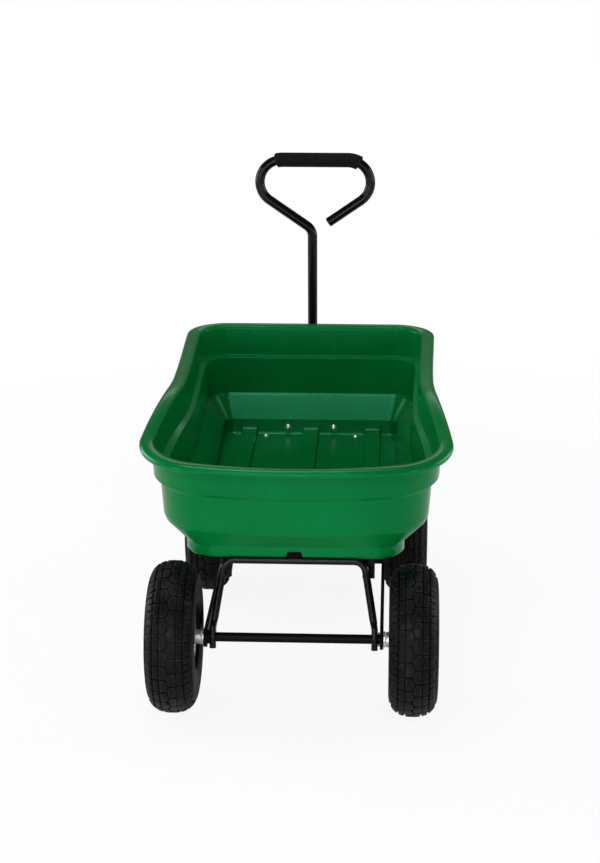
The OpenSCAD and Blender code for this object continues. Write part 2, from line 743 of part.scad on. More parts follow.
module tray() {
    past = 20;
    color(GREEN) placed() difference() {
        union() {
            tray_shell();
            for (x = [-1 : 1]) rib_bar(x * rib_pitch, rib_w, tray_z + edge / 2, rib_h + edge / 2,
                                       tray_near + 0.5, tray_far - 0.5);
        }
        // The middle rib is open at both ends for the spine, and the others are closed at the dump end
        for (x = [-1 : 1]) rib_bar(x * rib_pitch, rib_w - 2 * edge + 2, tray_z - 1, rib_h + 1,
                                   x == 0 ? tray_near - past : tray_near + edge, tray_far + past);
        for (s = [-1, 1]) {
            for (y = floor_bolt_y) translate([s * floor_bolt_x, y, tray_z - 1])
                cylinder(d = tray_bolt_d + 2 * bolt_fit, h = edge + 2);
            translate([s * wall_bolt_x, 0, tray_z + wall_bolt_h])
                bar_y(tray_bolt_d / 2 + bolt_fit, tray_far - 3 * edge, tray_far + 3 * edge);
        }
    }
}

// ---------- Tipping frame ----------

hoop_top_z = tray_z - face_gap - hoop_d / 2;
hoop_rise = hoop_top_z - axle_z;
hoop_tilt = atan2(hoop_fwd, hoop_rise);
hoop_len = norm([hoop_fwd, hoop_rise]);
hoop_span = 2 * (rail_out - rail_t - eye_gap) - eye_t;
hoop_top_span = hoop_span - 2 * hoop_lean_in;

// Draws in the hoop's own leaning plane, with Z along its legs from the axle
module in_hoop_plane() { placed() translate([0, 0, axle_z]) rotate([-hoop_tilt, 0, 0]) children(); }

// A round bar bent to an inverted U, its ends flattened to eyes on the rear axle
module hoop() {
    // Heights along the legs where the flat eyes end and where the round bar begins
    flat_top = 20;
    foot = 24;
    round_from = 32;
    leg_x = hoop_span / 2;
    lean = atan2((hoop_span - hoop_top_span) / 2, hoop_len);
    color(BLACK) in_hoop_plane() {
        bent_bar([[-leg_x + foot * tan(lean), foot], [-hoop_top_span / 2, hoop_len],
                  [hoop_top_span / 2, hoop_len], [leg_x - foot * tan(lean), foot]],
                 [0, hoop_r, hoop_r, 0], hoop_d);
        both_sides() difference() {
            translate([leg_x + eye_t / 2, 0, 0]) rotate([90, 0, -90]) linear_extrude(eye_t) union() {
                translate([0, -eye_drop + eye_w / 2]) circle(d = eye_w);
                translate([-eye_w / 2, -eye_drop + eye_w / 2])
                    square([eye_w, eye_drop - eye_w / 2 + flat_top]);
                polygon([[-eye_w / 2, flat_top - 0.01], [eye_w / 2, flat_top - 0.01],
                         [hoop_d / 2, round_from], [-hoop_d / 2, round_from]]);
            }
            bar_x(axle_d / 2 + run_fit, leg_x - eye_t, leg_x + eye_t);
        }
    }
}

// An angle bar under the tray whose rear end is turned down behind a leg of the hoop
module bearer(side) {
    tab_run = 6;
    y0 = hoop_fwd + hoop_d / 2 + tab_run;
    y1 = tray_far - 2;
    inside = bearer_x - bearer_w;
    outside = bearer_x + (side > 0 ? bearer_extra : 0);
    color(BLACK) mirror([side < 0 ? 1 : 0, 0, 0]) {
        placed() difference() {
            union() {
                block([inside, y0, tray_z - bearer_t], [outside, y1, tray_z]);
                block([outside - bearer_t, y0, tray_z - bearer_h], [outside, y1, tray_z]);
            }
            for (y = floor_bolt_y) translate([floor_bolt_x, y, tray_z - bearer_t - 1])
                cylinder(d = tray_bolt_d + 2 * bolt_fit, h = bearer_t + 2);
        }
        in_hoop_plane() difference() {
            block([outside - bearer_t, hoop_d / 2, hoop_len + hoop_d / 2 - tab_drop],
                  [outside - bearer_t + tab_w, hoop_d / 2 + bearer_t, hoop_len + 3]);
            rotate([hoop_tilt, 0, 0]) translate([0, 0, tray_z - axle_z]) cube(2 * outside);
        }
        placed() translate([outside - bearer_t, 0, 0])
            block([0, y0 - tab_run, tray_z - bearer_h], [bearer_t, y0, tray_z - tab_run]);
    }
}

module bearer_left() { bearer(-1); }
module bearer_right() { bearer(1); }

strap_z = tray_z - bearer_t - strap_t;
strap_w = 28;

// A flat strap under the bearers' front ends, which rests on the latch stand
module front_strap() {
    half = bearer_x - bearer_t - 1;
    y = floor_bolt_y[1];
    color(BLACK) placed() difference() {
        block([-half, y - strap_w / 2, strap_z], [half, y + strap_w / 2 - 5, strap_z + strap_t]);
        for (s = [-1, 1]) translate([s * floor_bolt_x, y, strap_z - 1])
            cylinder(d = tray_bolt_d + 2 * bolt_fit, h = strap_t + 2);
    }
}

striker_y = wall_out_y;
striker_low = 32;
striker_past_bolt = 14;
striker_up = 10;
nose_h = 7;
slot_drop = 22;
slot_z = tray_z - slot_drop;
slot_h = nose_h + 5;
slot_half = lever_w / 2 + 4;

// A plate on the tray's front wall, with a slot for the latch's nose below the tray
module striker_plate() {
    half = wall_bolt_x + striker_past_bolt;
    color(BLACK) placed() difference() {
        block([-half, striker_y, tray_z - striker_low],
              [half, striker_y + striker_t, tray_z + wall_bolt_h + striker_up]);
        block([-slot_half, striker_y - 1, slot_z], [slot_half, striker_y + striker_t + 1, slot_z + slot_h]);
        for (s = [-1, 1]) translate([s * wall_bolt_x, 0, tray_z + wall_bolt_h])
            bar_y(tray_bolt_d / 2 + bolt_fit, striker_y - 1, striker_y + striker_t + 1);
    }
}

// A bolt along -Z with a domed head above the surface z = 0, and a nut grip below it
module dome_bolt(grip) {
    head_h = 3.6;
    nut_h = 5;
    ball_r = (dome_d * dome_d / 4 + head_h * head_h) / (2 * head_h);
    intersection() {
        translate([0, 0, head_h - ball_r]) sphere(r = ball_r, $fn = 64);
        cylinder(d = dome_d + 1, h = head_h + 1);
    }
    translate([0, 0, -grip - nut_h - 3]) cylinder(d = tray_bolt_d, h = grip + nut_h + 3.01);
    translate([0, 0, -grip - nut_h]) difference() {
        hexagon(tray_bolt_d + 4, nut_h);
        translate([0, 0, -1]) cylinder(d = tray_bolt_d, h = nut_h + 2);
    }
}

module tray_bolts() {
    color(ZINC) placed() for (s = [-1, 1]) {
        translate([s * floor_bolt_x, floor_bolt_y[0], tray_z + edge]) dome_bolt(edge + bearer_t);
        translate([s * floor_bolt_x, floor_bolt_y[1], tray_z + edge]) dome_bolt(edge + bearer_t + strap_t);
        translate([s * wall_bolt_x, wall_out_y - edge, tray_z + wall_bolt_h]) rotate([90, 0, 0])
            dome_bolt(edge + striker_t);
    }
}

// ---------- Latch ----------

pad_top = strap_z - face_gap;
stand_top = pad_top - pad_t;
stand_rear = floor_bolt_y[1] - strap_w / 2;
stand_front = stand_rear + 22;
// The latch pin's place, in front of the striker and above the spine
latch_ahead = 9;
latch_above = 15;
latch_y = striker_y + striker_t + latch_ahead;
latch_z = spine_top + latch_above;
pedal_r = 6;
arm_t = 8;
pedal_tip = pivot_y - (latch_z - pivot_z) * tan(handle_lean) - handle_d / 2 - pedal_gap;
pedal_len = pedal_tip - latch_y;

// Two cheeks on the spine's sides, joined by a plate that carries the rest pad
module latch_stand() {
    half = spine_w / 2;
    color(BLACK) placed() difference() {
        union() {
            both_sides() {
                block([half, stand_rear, spine_z], [half + stand_t, stand_front, stand_top]);
                block([half, stand_rear, spine_z], [half + stand_t, spine_end, latch_z + 12]);
            }
            block([-half - stand_t, stand_rear, stand_top - stand_t], [half + stand_t, stand_front, stand_top]);
        }
        translate([0, latch_y, latch_z])
            bar_x(latch_pin_d / 2 + pin_fit, -half - stand_t - 1, half + stand_t + 1);
    }
}

module rest_pad() {
    half = spine_w / 2;
    color(RUBBER) placed() block([-half, stand_rear + 1, stand_top], [half, stand_front - 1, pad_top]);
}

module latch_pin() {
    half = spine_w / 2 + stand_t;
    color(ZINC) placed() translate([0, latch_y, latch_z]) {
        bar_x(latch_pin_d / 2, -half - 3, half);
        bar_x(latch_pin_d / 2 + 3, half, half + 3);
        ring_x(latch_pin_d / 2 + 2, latch_pin_d / 2, -half - 2.5, -half - 0.5);
    }
}

// A double coil around the latch pin, one on each side of the lever
module latch_spring() {
    wire = 1.9;
    turns = floor((spine_w / 2 - lever_w / 2 - 2 * face_gap) / wire);
    color(ZINC) placed() translate([0, latch_y, latch_z]) both_sides() for (i = [0 : turns - 1])
        translate([lever_w / 2 + face_gap + (i + 0.5) * wire, 0, 0]) rotate([90, 0, 90])
            rotate_extrude() translate([latch_pin_d / 2 + 0.3 + wire / 2, 0]) circle(d = wire + 0.15);
}

// A foot lever: its nose enters the striker's slot and its pedal points forward
module latch_lever() {
    nose_z = slot_z + 1 - latch_z;
    nose_past = 6;
    back = striker_y - nose_past - latch_y;
    color("firebrick") placed() translate([-lever_w / 2, latch_y, latch_z]) difference() {
        rotate([90, 0, 90]) linear_extrude(lever_w) union() {
            circle(r = latch_pin_d / 2 + 5);
            translate([-arm_t / 2, 0]) square([arm_t, nose_z + nose_h]);
            translate([back, nose_z]) square([-back + arm_t / 2, nose_h]);
            translate([0, -arm_t / 2]) square([pedal_len - pedal_r, arm_t]);
            translate([pedal_len - pedal_r, 0]) circle(r = pedal_r);
        }
        bar_x(latch_pin_d / 2 + run_fit, -1, lever_w + 1);
    }
}

// ---------- Steering ----------

// An inverted U on the front axle, with the kingpin through its top plate
module steering_yoke() {
    cheek_y = 22;
    cheek_low = 18;
    color(BLACK) placed() translate([0, wheelbase, 0]) difference() {
        union() {
            block([-yoke_w / 2, -yoke_len / 2, yoke_under], [yoke_w / 2, yoke_len / 2, yoke_top]);
            both_sides() block([yoke_w / 2 - yoke_cheek_t, -cheek_y, axle_z - cheek_low],
                               [yoke_w / 2, cheek_y, yoke_under]);
        }
        translate([0, 0, yoke_under - 1]) cylinder(r = kingpin_d / 2 + washer_fit, h = yoke_t + 2);
        translate([0, 0, axle_z]) bar_x(axle_d / 2 + washer_fit, -yoke_w, yoke_w);
    }
}

kingpin_head_h = 9;
kingpin_nut_h = 9;
kingpin_af = kingpin_d + 8;

module kingpin() {
    foot = yoke_under - kingpin_nut_h - 3;
    head_z = sleeve_top + face_gap;
    color(ZINC) placed() translate([0, wheelbase, 0]) {
        translate([0, 0, foot]) cylinder(d = kingpin_d, h = head_z - foot);
        translate([0, 0, head_z]) hexagon(kingpin_af, kingpin_head_h);
        translate([0, 0, yoke_under - kingpin_nut_h]) difference() {
            hexagon(kingpin_af, kingpin_nut_h);
            translate([0, 0, -1]) cylinder(d = kingpin_d - 1, h = kingpin_nut_h + 2);
        }
    }
}

module thrust_washer() {
    color(ZINC) placed() translate([0, wheelbase, yoke_top]) difference() {
        cylinder(d = sleeve_d + 8, h = thrust_t);
        translate([0, 0, -1]) cylinder(r = kingpin_d / 2 + washer_fit, h = thrust_t + 2);
    }
}

tongue_back = yoke_len / 2 - 9;
stop_h = 18;
stop_t = 6;

// A tube from the yoke forward to the handle, with a stop for the fork on top
module tongue() {
    half = tongue_w / 2;
    stop_front = pivot_y - cheek_r / cos(handle_lean) - (tongue_h / 2 + stop_h) * tan(handle_lean) - 0.1;
    color(BLACK) placed() difference() {
        union() {
            block([-half, wheelbase + tongue_back, tongue_z], [half, pivot_y, tongue_z + tongue_h]);
            translate([0, pivot_y, pivot_z]) bar_x(tongue_h / 2, -half, half);
            block([-half, stop_front - stop_t, tongue_z + tongue_h - 0.01],
                  [half, stop_front, tongue_z + tongue_h + stop_h]);
        }
        block([-half + box_wall, wheelbase + tongue_back - 1, tongue_z + box_wall],
              [half - box_wall, pivot_y - tongue_h, tongue_z + tongue_h - box_wall]);
        translate([0, pivot_y, pivot_z]) bar_x(pivot_d / 2 + pin_fit, -half - 1, half + 1);
    }
}

fork_half = tongue_w / 2 + face_gap + fork_t;

module handle_pivot_bolt() {
    af = pivot_d + 6;
    head_h = 6;
    nut_h = 8;
    past = 2;
    color(ZINC) placed() translate([0, pivot_y, pivot_z]) {
        bar_x(pivot_d / 2, -fork_half - nut_h - past, fork_half + face_gap);
        translate([fork_half + face_gap, 0, 0]) rotate([0, 90, 0]) hexagon(af, head_h);
        difference() {
            translate([-fork_half - face_gap - nut_h, 0, 0]) rotate([0, 90, 0]) hexagon(af, nut_h);
            bar_x(pivot_d / 2, -fork_half - nut_h - past / 2, -fork_half);
        }
    }
}

// ---------- Handle ----------

// Draws in the handle's own frame: Z along the rod from the pivot, leaning back at rest
module on_handle() {
    placed() translate([0, pivot_y, pivot_z]) rotate([handle_lean, 0, 0]) children();
}

// Corner points of the handle's centre line, in its own plane
slope_run = 1 / tan(loop_slope);
handle_bend_h = handle_h - loop_r * (1 + cos(loop_slope))
    - (loop_left - loop_r + loop_r * sin(loop_slope)) * tan(loop_slope);
top_left = [-(handle_h - handle_bend_h) * slope_run, handle_h];
loop_points = let (arc_x = loop_right - loop_r,
                   foot = [arc_x + loop_r * sin(loop_slope), handle_h - loop_r * (1 + cos(loop_slope))],
                   run = (foot[0] - loop_gap) / cos(loop_slope),
                   tail = foot - run * [cos(loop_slope), sin(loop_slope)],
                   corner = [tail[0] + (handle_h - tail[1]) * slope_run, handle_h])
    [[0, fork_h], [0, handle_bend_h], top_left, corner, tail];
loop_bends = [0, handle_bend_r, loop_r, loop_r, 0];

module handle_tube() {
    bore = handle_d - 2 * handle_wall;
    n = len(loop_points);
    tip = (loop_points[n - 1] - loop_points[n - 2]) / norm(loop_points[n - 1] - loop_points[n - 2]);
    longer = concat([loop_points[0] - [0, 1]], [for (i = [1 : n - 2]) loop_points[i]],
                    [loop_points[n - 1] + tip]);
    color(BLACK) on_handle() difference() {
        bent_bar(loop_points, loop_bends, handle_d);
        bent_bar(longer, loop_bends, bore);
    }
}

// A foam sleeve over the top tube and the start of both bends
module grip() {
    p = loop_points;
    back_l = setback(p[1], p[2], p[3], loop_r);
    back_r = setback(p[2], p[3], p[4], loop_r);
    arc_l = grip_left / loop_r * 180 / PI / turn_angle(p[1], p[2], p[3]);
    arc_r = grip_right / loop_r * 180 / PI / turn_angle(p[2], p[3], p[4]);
    color(RUBBER) on_handle() difference() {
        union() {
            straight_bar([p[2][0] + back_l, handle_h], p[3][0] - back_r - p[2][0] - back_l, 0, grip_d);
            bar_bend(p[1], p[2], p[3], loop_r, grip_d - bend_relief, from = 1 - arc_l);
            bar_bend(p[2], p[3], p[4], loop_r, grip_d - bend_relief, to = arc_r);
        }
        bent_bar(p, loop_bends, handle_d + 2 * grip_fit);
    }
}

// A fork that straddles the tongue: two cheeks, a rear web and a top plate under the rod
module handle_fork() {
    web_from = 17;
    half_in = tongue_w / 2 + face_gap;
    color(BLACK) on_handle() difference() {
        union() {
            both_sides() {
                bar_x(cheek_r, half_in, fork_half);
                block([half_in, -cheek_r, 0], [fork_half, cheek_r, fork_h]);
            }
            block([-fork_half, -cheek_r, fork_h - fork_t], [fork_half, cheek_r, fork_h]);
            block([-fork_half, -cheek_r, web_from], [fork_half, -cheek_r + fork_t, fork_h]);
        }
        bar_x(pivot_d / 2 + run_fit, -fork_half - 1, fork_half + 1);
    }
}

// ---------- Assembly ----------

tyre("rear_left");  // tyre_rear_left
tyre("rear_right");  // tyre_rear_right
tyre("front_left");  // tyre_front_left
tyre("front_right");  // tyre_front_right
inner_tube("rear_left");  // inner_tube_rear_left
inner_tube("rear_right");  // inner_tube_rear_right
inner_tube("front_left");  // inner_tube_front_left
inner_tube("front_right");  // inner_tube_front_right
rim_outer("rear_left");  // rim_outer_rear_left
rim_outer("rear_right");  // rim_outer_rear_right
rim_outer("front_left");  // rim_outer_front_left
rim_outer("front_right");  // rim_outer_front_right
rim_inner("rear_left");  // rim_inner_rear_left
rim_inner("rear_right");  // rim_inner_rear_right
rim_inner("front_left");  // rim_inner_front_left
rim_inner("front_right");  // rim_inner_front_right
hub("rear_left");  // hub_rear_left
hub("rear_right");  // hub_rear_right
hub("front_left");  // hub_front_left
hub("front_right");  // hub_front_right
bushes("rear_left");  // bushes_rear_left
bushes("rear_right");  // bushes_rear_right
bushes("front_left");  // bushes_front_left
bushes("front_right");  // bushes_front_right
rim_bolts("rear_left");  // rim_bolts_rear_left
rim_bolts("rear_right");  // rim_bolts_rear_right
rim_bolts("front_left");  // rim_bolts_front_left
rim_bolts("front_right");  // rim_bolts_front_right
rear_axle();
rear_washers();
rear_split_pins();
pivot_washers();
side_rails();
crossbar();
spine();
kingpin_sleeve();
latch_stand();
rest_pad();
latch_pin();
latch_spring();
front_axle();
front_spacers();
front_washers();
front_split_pins();
steering_yoke();
kingpin();
thrust_washer();
tongue();
handle_pivot_bolt();
handle_tube();
handle_fork();
grip();
tray();
hoop();
bearer_left();
bearer_right();
front_strap();
striker_plate();
tray_bolts();
latch_lever();
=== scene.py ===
"""A four-wheeled garden tipping cart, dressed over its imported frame.

The tray, tyres, rims, handle, grip and hoop are fine meshes that stand for their plain CAD
nodes. Every other node is shown as a bevelled copy. Lengths are in millimetres until a mesh
is made, and X runs across the cart, +Y towards the handle and +Z up.
"""
import json
import math

import bmesh
import bpy
from mathutils import Matrix, Vector


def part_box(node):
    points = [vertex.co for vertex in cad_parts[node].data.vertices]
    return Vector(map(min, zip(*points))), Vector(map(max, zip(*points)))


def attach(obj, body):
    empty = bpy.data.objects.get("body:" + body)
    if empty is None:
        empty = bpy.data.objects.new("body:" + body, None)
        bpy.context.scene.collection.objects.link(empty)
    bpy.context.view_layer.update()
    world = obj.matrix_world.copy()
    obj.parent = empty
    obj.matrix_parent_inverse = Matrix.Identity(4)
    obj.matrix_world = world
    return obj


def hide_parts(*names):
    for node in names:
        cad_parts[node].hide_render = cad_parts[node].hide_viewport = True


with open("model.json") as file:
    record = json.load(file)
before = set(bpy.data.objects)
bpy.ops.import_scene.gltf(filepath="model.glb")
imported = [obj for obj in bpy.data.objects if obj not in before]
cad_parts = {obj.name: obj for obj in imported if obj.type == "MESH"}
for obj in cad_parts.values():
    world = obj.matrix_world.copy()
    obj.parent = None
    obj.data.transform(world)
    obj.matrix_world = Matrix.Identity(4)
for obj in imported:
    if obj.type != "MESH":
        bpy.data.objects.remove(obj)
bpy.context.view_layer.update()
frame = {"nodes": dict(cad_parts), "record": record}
MM = 0.001


def middle(node):
    """The middle of a CAD node's box, in millimetres."""
    low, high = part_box(node)
    return (low + high) / 2 / MM


def extent(node):
    """The size of a CAD node's box, in millimetres."""
    low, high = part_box(node)
    return (high - low) / MM


REAR_Y = middle("rear_axle").y
FRONT_Y = middle("front_axle").y
AXLE_Z = middle("rear_axle").z
CORNERS = ("rear_left", "rear_right", "front_left", "front_right")


# ---------------------------------------------------------------- camera

EYE_ACROSS = 163
EYE_BEHIND_AXLE = 3247
EYE_HEIGHT = 1507
EYE_PITCH = 17.23
EYE_YAW = 2.67
EYE_ROLL = -0.1
FOCAL_HEIGHTS = 2060 / 863
SENSOR = 36


def add_camera():
    """A long lens behind the dump end, looking down into the tray."""
    data = bpy.data.cameras.new("view")
    data.sensor_width = SENSOR
    data.lens = SENSOR * FOCAL_HEIGHTS
    data.clip_end = 60
    camera = bpy.data.objects.new("view", data)
    bpy.context.collection.objects.link(camera)
    place = Matrix.Translation(Vector((EYE_ACROSS, REAR_Y - EYE_BEHIND_AXLE, EYE_HEIGHT)) * MM)
    turn = Matrix.Rotation(math.radians(EYE_YAW), 4, "Z")
    tilt = Matrix.Rotation(math.radians(90 - EYE_PITCH), 4, "X")
    roll = Matrix.Rotation(math.radians(EYE_ROLL), 4, "Z")
    camera.matrix_world = place @ turn @ tilt @ roll
    bpy.context.scene.camera = camera


# ---------------------------------------------------------------- shader arithmetic

class Wire:
    """A shader node's output, usable in Python arithmetic."""

    def __init__(self, finish, socket):
        self.finish = finish
        self.socket = socket

    def math(self, operation, *values):
        """A Math node's result."""
        return self.finish.node("ShaderNodeMath", {"operation": operation}, *values)

    def __add__(self, other):
        return self.math("ADD", self, other)

    def __sub__(self, other):
        return self.math("SUBTRACT", self, other)

    def __mul__(self, other):
        return self.math("MULTIPLY", self, other)

    def __rsub__(self, other):
        return self.math("SUBTRACT", other, self)

    __radd__ = __add__
    __rmul__ = __mul__

    def between(self, low, high):
        """0 below low, 1 above high, smooth in between."""
        settings = {"interpolation_type": "SMOOTHSTEP"}
        return self.finish.node("ShaderNodeMapRange", settings, self, low, high, 0.0, 1.0)


class Finish:
    """A material whose nodes are made by calls."""

    def __init__(self, name):
        self.material = bpy.data.materials.new(name)
        self.material.use_nodes = True
        self.tree = self.material.node_tree
        self.tree.nodes.clear()
        self.place = self.node("ShaderNodeTexCoord", {"output": "Object"})

    def node(self, kind, settings, *values, **named):
        """Adds a node; settings go on first, then the sockets' values or links, in order or by name."""
        made = self.tree.nodes.new(kind)
        output = settings.pop("output", None)
        for key, value in settings.items():
            setattr(made, key, value)
        for socket, value in zip([i for i in made.inputs if i.enabled], values):
            self.feed(socket, value)
        for key, value in named.items():
            self.feed(made.inputs[key], value)
        if output is None:
            output = next((o.name for o in made.outputs if o.enabled), None)
        return Wire(self, made.outputs[output]) if made.outputs else None

    def feed(self, socket, value):
        """Links a wire to a socket, or sets the socket's own value."""
        if isinstance(value, Wire):
            self.tree.links.new(value.socket, socket)
        elif value is not None:
            socket.default_value = value

    def noise(self, scale, detail=2.0, rough=0.5, place=None):
        """Soft noise with so many features to the metre."""
        return self.node("ShaderNodeTexNoise", {}, Vector=place or self.place, Scale=scale,
                         Detail=detail, Roughness=rough)

    def cells(self, scale):
        """Distance to the middle of the nearest cell."""
        return self.node("ShaderNodeTexVoronoi", {}, Vector=self.place, Scale=scale)

    def stretched(self, scale, turn=(0, 0, 0)):
        """The object's coordinates, scaled and turned."""
        return self.node("ShaderNodeMapping", {}, Vector=self.place, Scale=scale,
                         Rotation=tuple(math.radians(a) for a in turn))

    def mix(self, factor, first, second):
        """A colour between two colours."""
        made = self.tree.nodes.new("ShaderNodeMix")
        made.data_type = "RGBA"
        sockets = {s.identifier: s for s in made.inputs}
        self.feed(sockets["Factor_Float"], factor)
        for name, colour in (("A_Color", first), ("B_Color", second)):
            self.feed(sockets[name], colour if isinstance(colour, Wire) else (*colour, 1))
        return Wire(self, next(o for o in made.outputs if o.identifier == "Result_Color"))

    def bump(self, height, strength, distance, normal=None):
        """A normal tilted by a height, on top of another bump's normal if given."""
        return self.node("ShaderNodeBump", {}, Strength=strength, Distance=distance,
                         Height=height, Normal=normal)

    def done(self, colour, roughness, normal=None, **constants):
        """Closes the material with one Principled shader; constants go on its own sockets."""
        shader = self.tree.nodes.new("ShaderNodeBsdfPrincipled")
        self.feed(shader.inputs["Base Color"], colour if isinstance(colour, Wire) else (*colour, 1))
        self.feed(shader.inputs["Roughness"], roughness)
        self.feed(shader.inputs["Normal"], normal)
        for name, value in constants.items():
            self.feed(shader.inputs[name.replace("_", " ")], value)
        out = self.tree.nodes.new("ShaderNodeOutputMaterial")
        self.tree.links.new(shader.outputs[0], out.inputs["Surface"])
        return self.material


# ---------------------------------------------------------------- finishes

def moulded_green():
    """Satin moulded polyethylene: faint cloudiness, a fine orange peel and a few dull scuffs."""
    f = Finish("moulded_green")
    cloud = f.noise(5.0, detail=4.0, rough=0.6)
    scuff = f.noise(24.0, detail=4.0, rough=0.6, place=f.stretched((1, 0.35, 1), (0, 0, 20)))
    scuffed = scuff.between(0.55, 0.80)
    colour = f.mix(cloud.between(0.3, 0.72), (0.0, 0.120, 0.021), (0.0, 0.148, 0.028))
    colour = f.mix(scuffed * 0.04, colour, (0.01, 0.26, 0.10))
    flow = f.bump(f.noise(11.0, detail=2.0), 0.04, 0.004)
    peel = f.bump(f.noise(900.0, detail=2.0), 0.012, 0.0003, flow)
    rough = 0.20 + 0.08 * f.noise(60.0, detail=3.0) + 0.06 * scuffed
    return f.done(colour, rough, peel, Specular_IOR_Level=0.4, Specular_Tint=(0.14, 1.0, 0.60, 1))


def black_enamel():
    """Glossy black enamel on the handle and the hoop, with a soft ripple along the tube."""
    f = Finish("black_enamel")
    ripple = f.noise(90.0, detail=2.0)
    speck = f.noise(700.0, detail=2.0)
    broad = f.noise(12.0, detail=3.0).between(0.35, 0.7)
    colour = f.mix(broad, (0.002, 0.002, 0.0024), (0.004, 0.004, 0.0045))
    normal = f.bump(speck, 0.02, 0.0004, f.bump(ripple, 0.05, 0.0012))
    return f.done(colour, 0.15 + 0.10 * f.noise(40.0, detail=3.0), normal, Specular_IOR_Level=0.18)


def black_powder():
    """Black powder coat on the welded frame: a pebbled skin that greys a little on the crests."""
    f = Finish("black_powder")
    pebble = f.noise(520.0, detail=3.0, rough=0.6)
    broad = f.noise(30.0, detail=3.0)
    colour = f.mix(pebble.between(0.4, 0.75), (0.002, 0.002, 0.0023), (0.005, 0.005, 0.0055))
    normal = f.bump(pebble, 0.16, 0.0007)
    return f.done(colour, 0.30 + 0.14 * broad, normal, Specular_IOR_Level=0.06)


def zinc_plate():
    """Bright zinc plating with a faint spangle and a warm and cool cast."""
    f = Finish("zinc_plate")
    spangle = f.cells(160.0)
    cast = f.noise(22.0, detail=3.0)
    colour = f.mix(cast.between(0.35, 0.7), (0.74, 0.75, 0.77), (0.82, 0.81, 0.77))
    colour = f.mix(spangle * 0.25, colour, (0.90, 0.91, 0.92))
    brushed = f.noise(60.0, detail=4.0, place=f.stretched((12, 1, 1)))
    return f.done(colour, 0.24 + 0.16 * brushed, f.bump(brushed, 0.08, 0.0004), Metallic=0.92)


def silver_rim():
    """Silver paint on the pressed rims: fine flake, duller and darker in broad patches."""
    f = Finish("silver_rim")
    flake = f.cells(1500.0)
    broad = f.noise(18.0, detail=4.0)
    colour = f.mix(flake, (0.62, 0.63, 0.64), (0.78, 0.79, 0.80))
    colour = f.mix(broad.between(0.45, 0.8) * 0.3, colour, (0.42, 0.42, 0.42))
    return f.done(colour, 0.30 + 0.18 * broad, f.bump(flake, 0.06, 0.0003), Metallic=0.7)


def tread_rubber():
    """Charcoal tyre rubber: fine grain, warm and cool patches of painted sheen, block edges painted lighter
    as rubbed edges with a painted highlight, and grooves painted darker as shade.
    """
    f = Finish("tread_rubber")
    grain = f.noise(900.0, detail=4.0, rough=0.6)
    bloom = f.noise(34.0, detail=4.0, rough=0.6)
    wear_and_painted_light = f.node("ShaderNodeAttribute", {"attribute_name": "wear_and_painted_light", "output": "Fac"})
    colour = f.mix(bloom.between(0.42, 0.75), (0.002, 0.002, 0.0024), (0.006, 0.0058, 0.0058))
    # Warm and cool patches are painted sheen: coloured glints of light laid into the rubber's colour.
    cool = f.noise(21.0, detail=2.0, place=f.stretched((1, 1, 1), (40, 10, 70))).between(0.60, 0.74)
    warm = f.noise(17.0, detail=3.0).between(0.62, 0.76)
    colour = f.mix(cool * 0.7, colour, (0.014, 0.019, 0.030))
    colour = f.mix(warm * 0.6, colour, (0.040, 0.031, 0.019))
    # Block edges painted lighter: partly rubbed rubber, partly a painted highlight along the edges.
    edge = wear_and_painted_light.between(0.45, 1.0) * (0.15 + 0.85 * f.noise(55.0, detail=3.0).between(0.42, 0.72))
    colour = f.mix(edge, colour, (0.046, 0.045, 0.041))
    # Painted shade: the grooves are painted darker than the rubber.
    colour = f.mix((0.3 - wear_and_painted_light).between(0.0, 0.25), colour, (0.0012, 0.0012, 0.0012))
    rough = 0.30 + 0.36 * bloom
    return f.done(colour, rough, f.bump(grain, 0.14, 0.0006), Specular_IOR_Level=0.10)


def smooth_rubber():
    """Plain black rubber on the inner tubes with their valves, and on the rest pad."""
    f = Finish("smooth_rubber")
    grain = f.noise(600.0, detail=3.0)
    colour = f.mix(grain, (0.012, 0.012, 0.012), (0.024, 0.024, 0.025))
    return f.done(colour, 0.5 + 0.2 * f.noise(50.0), f.bump(grain, 0.2, 0.0005))


def foam_skin():
    """Closed-cell foam: a soft black skin, pitted by small cells."""
    f = Finish("foam_skin")
    cell = f.cells(620.0)
    dust = f.noise(240.0, detail=5.0, rough=0.7)
    pits = cell.between(0.0, 0.55)
    colour = f.mix(pits * (0.5 + 0.5 * dust), (0.002, 0.002, 0.003), (0.008, 0.009, 0.010))
    normal = f.bump(pits, 0.35, 0.0010, f.bump(f.noise(70.0, detail=3.0), 0.3, 0.0015))
    return f.done(colour, 0.62 + 0.14 * dust, normal, Specular_IOR_Level=0.06)


def natural_nylon():
    """Off-white nylon of the hub bushes."""
    f = Finish("natural_nylon")
    cloud = f.noise(60.0, detail=3.0)
    colour = f.mix(cloud, (0.62, 0.60, 0.54), (0.74, 0.72, 0.66))
    return f.done(colour, 0.42 + 0.1 * cloud, f.bump(f.noise(500.0), 0.1, 0.0003))


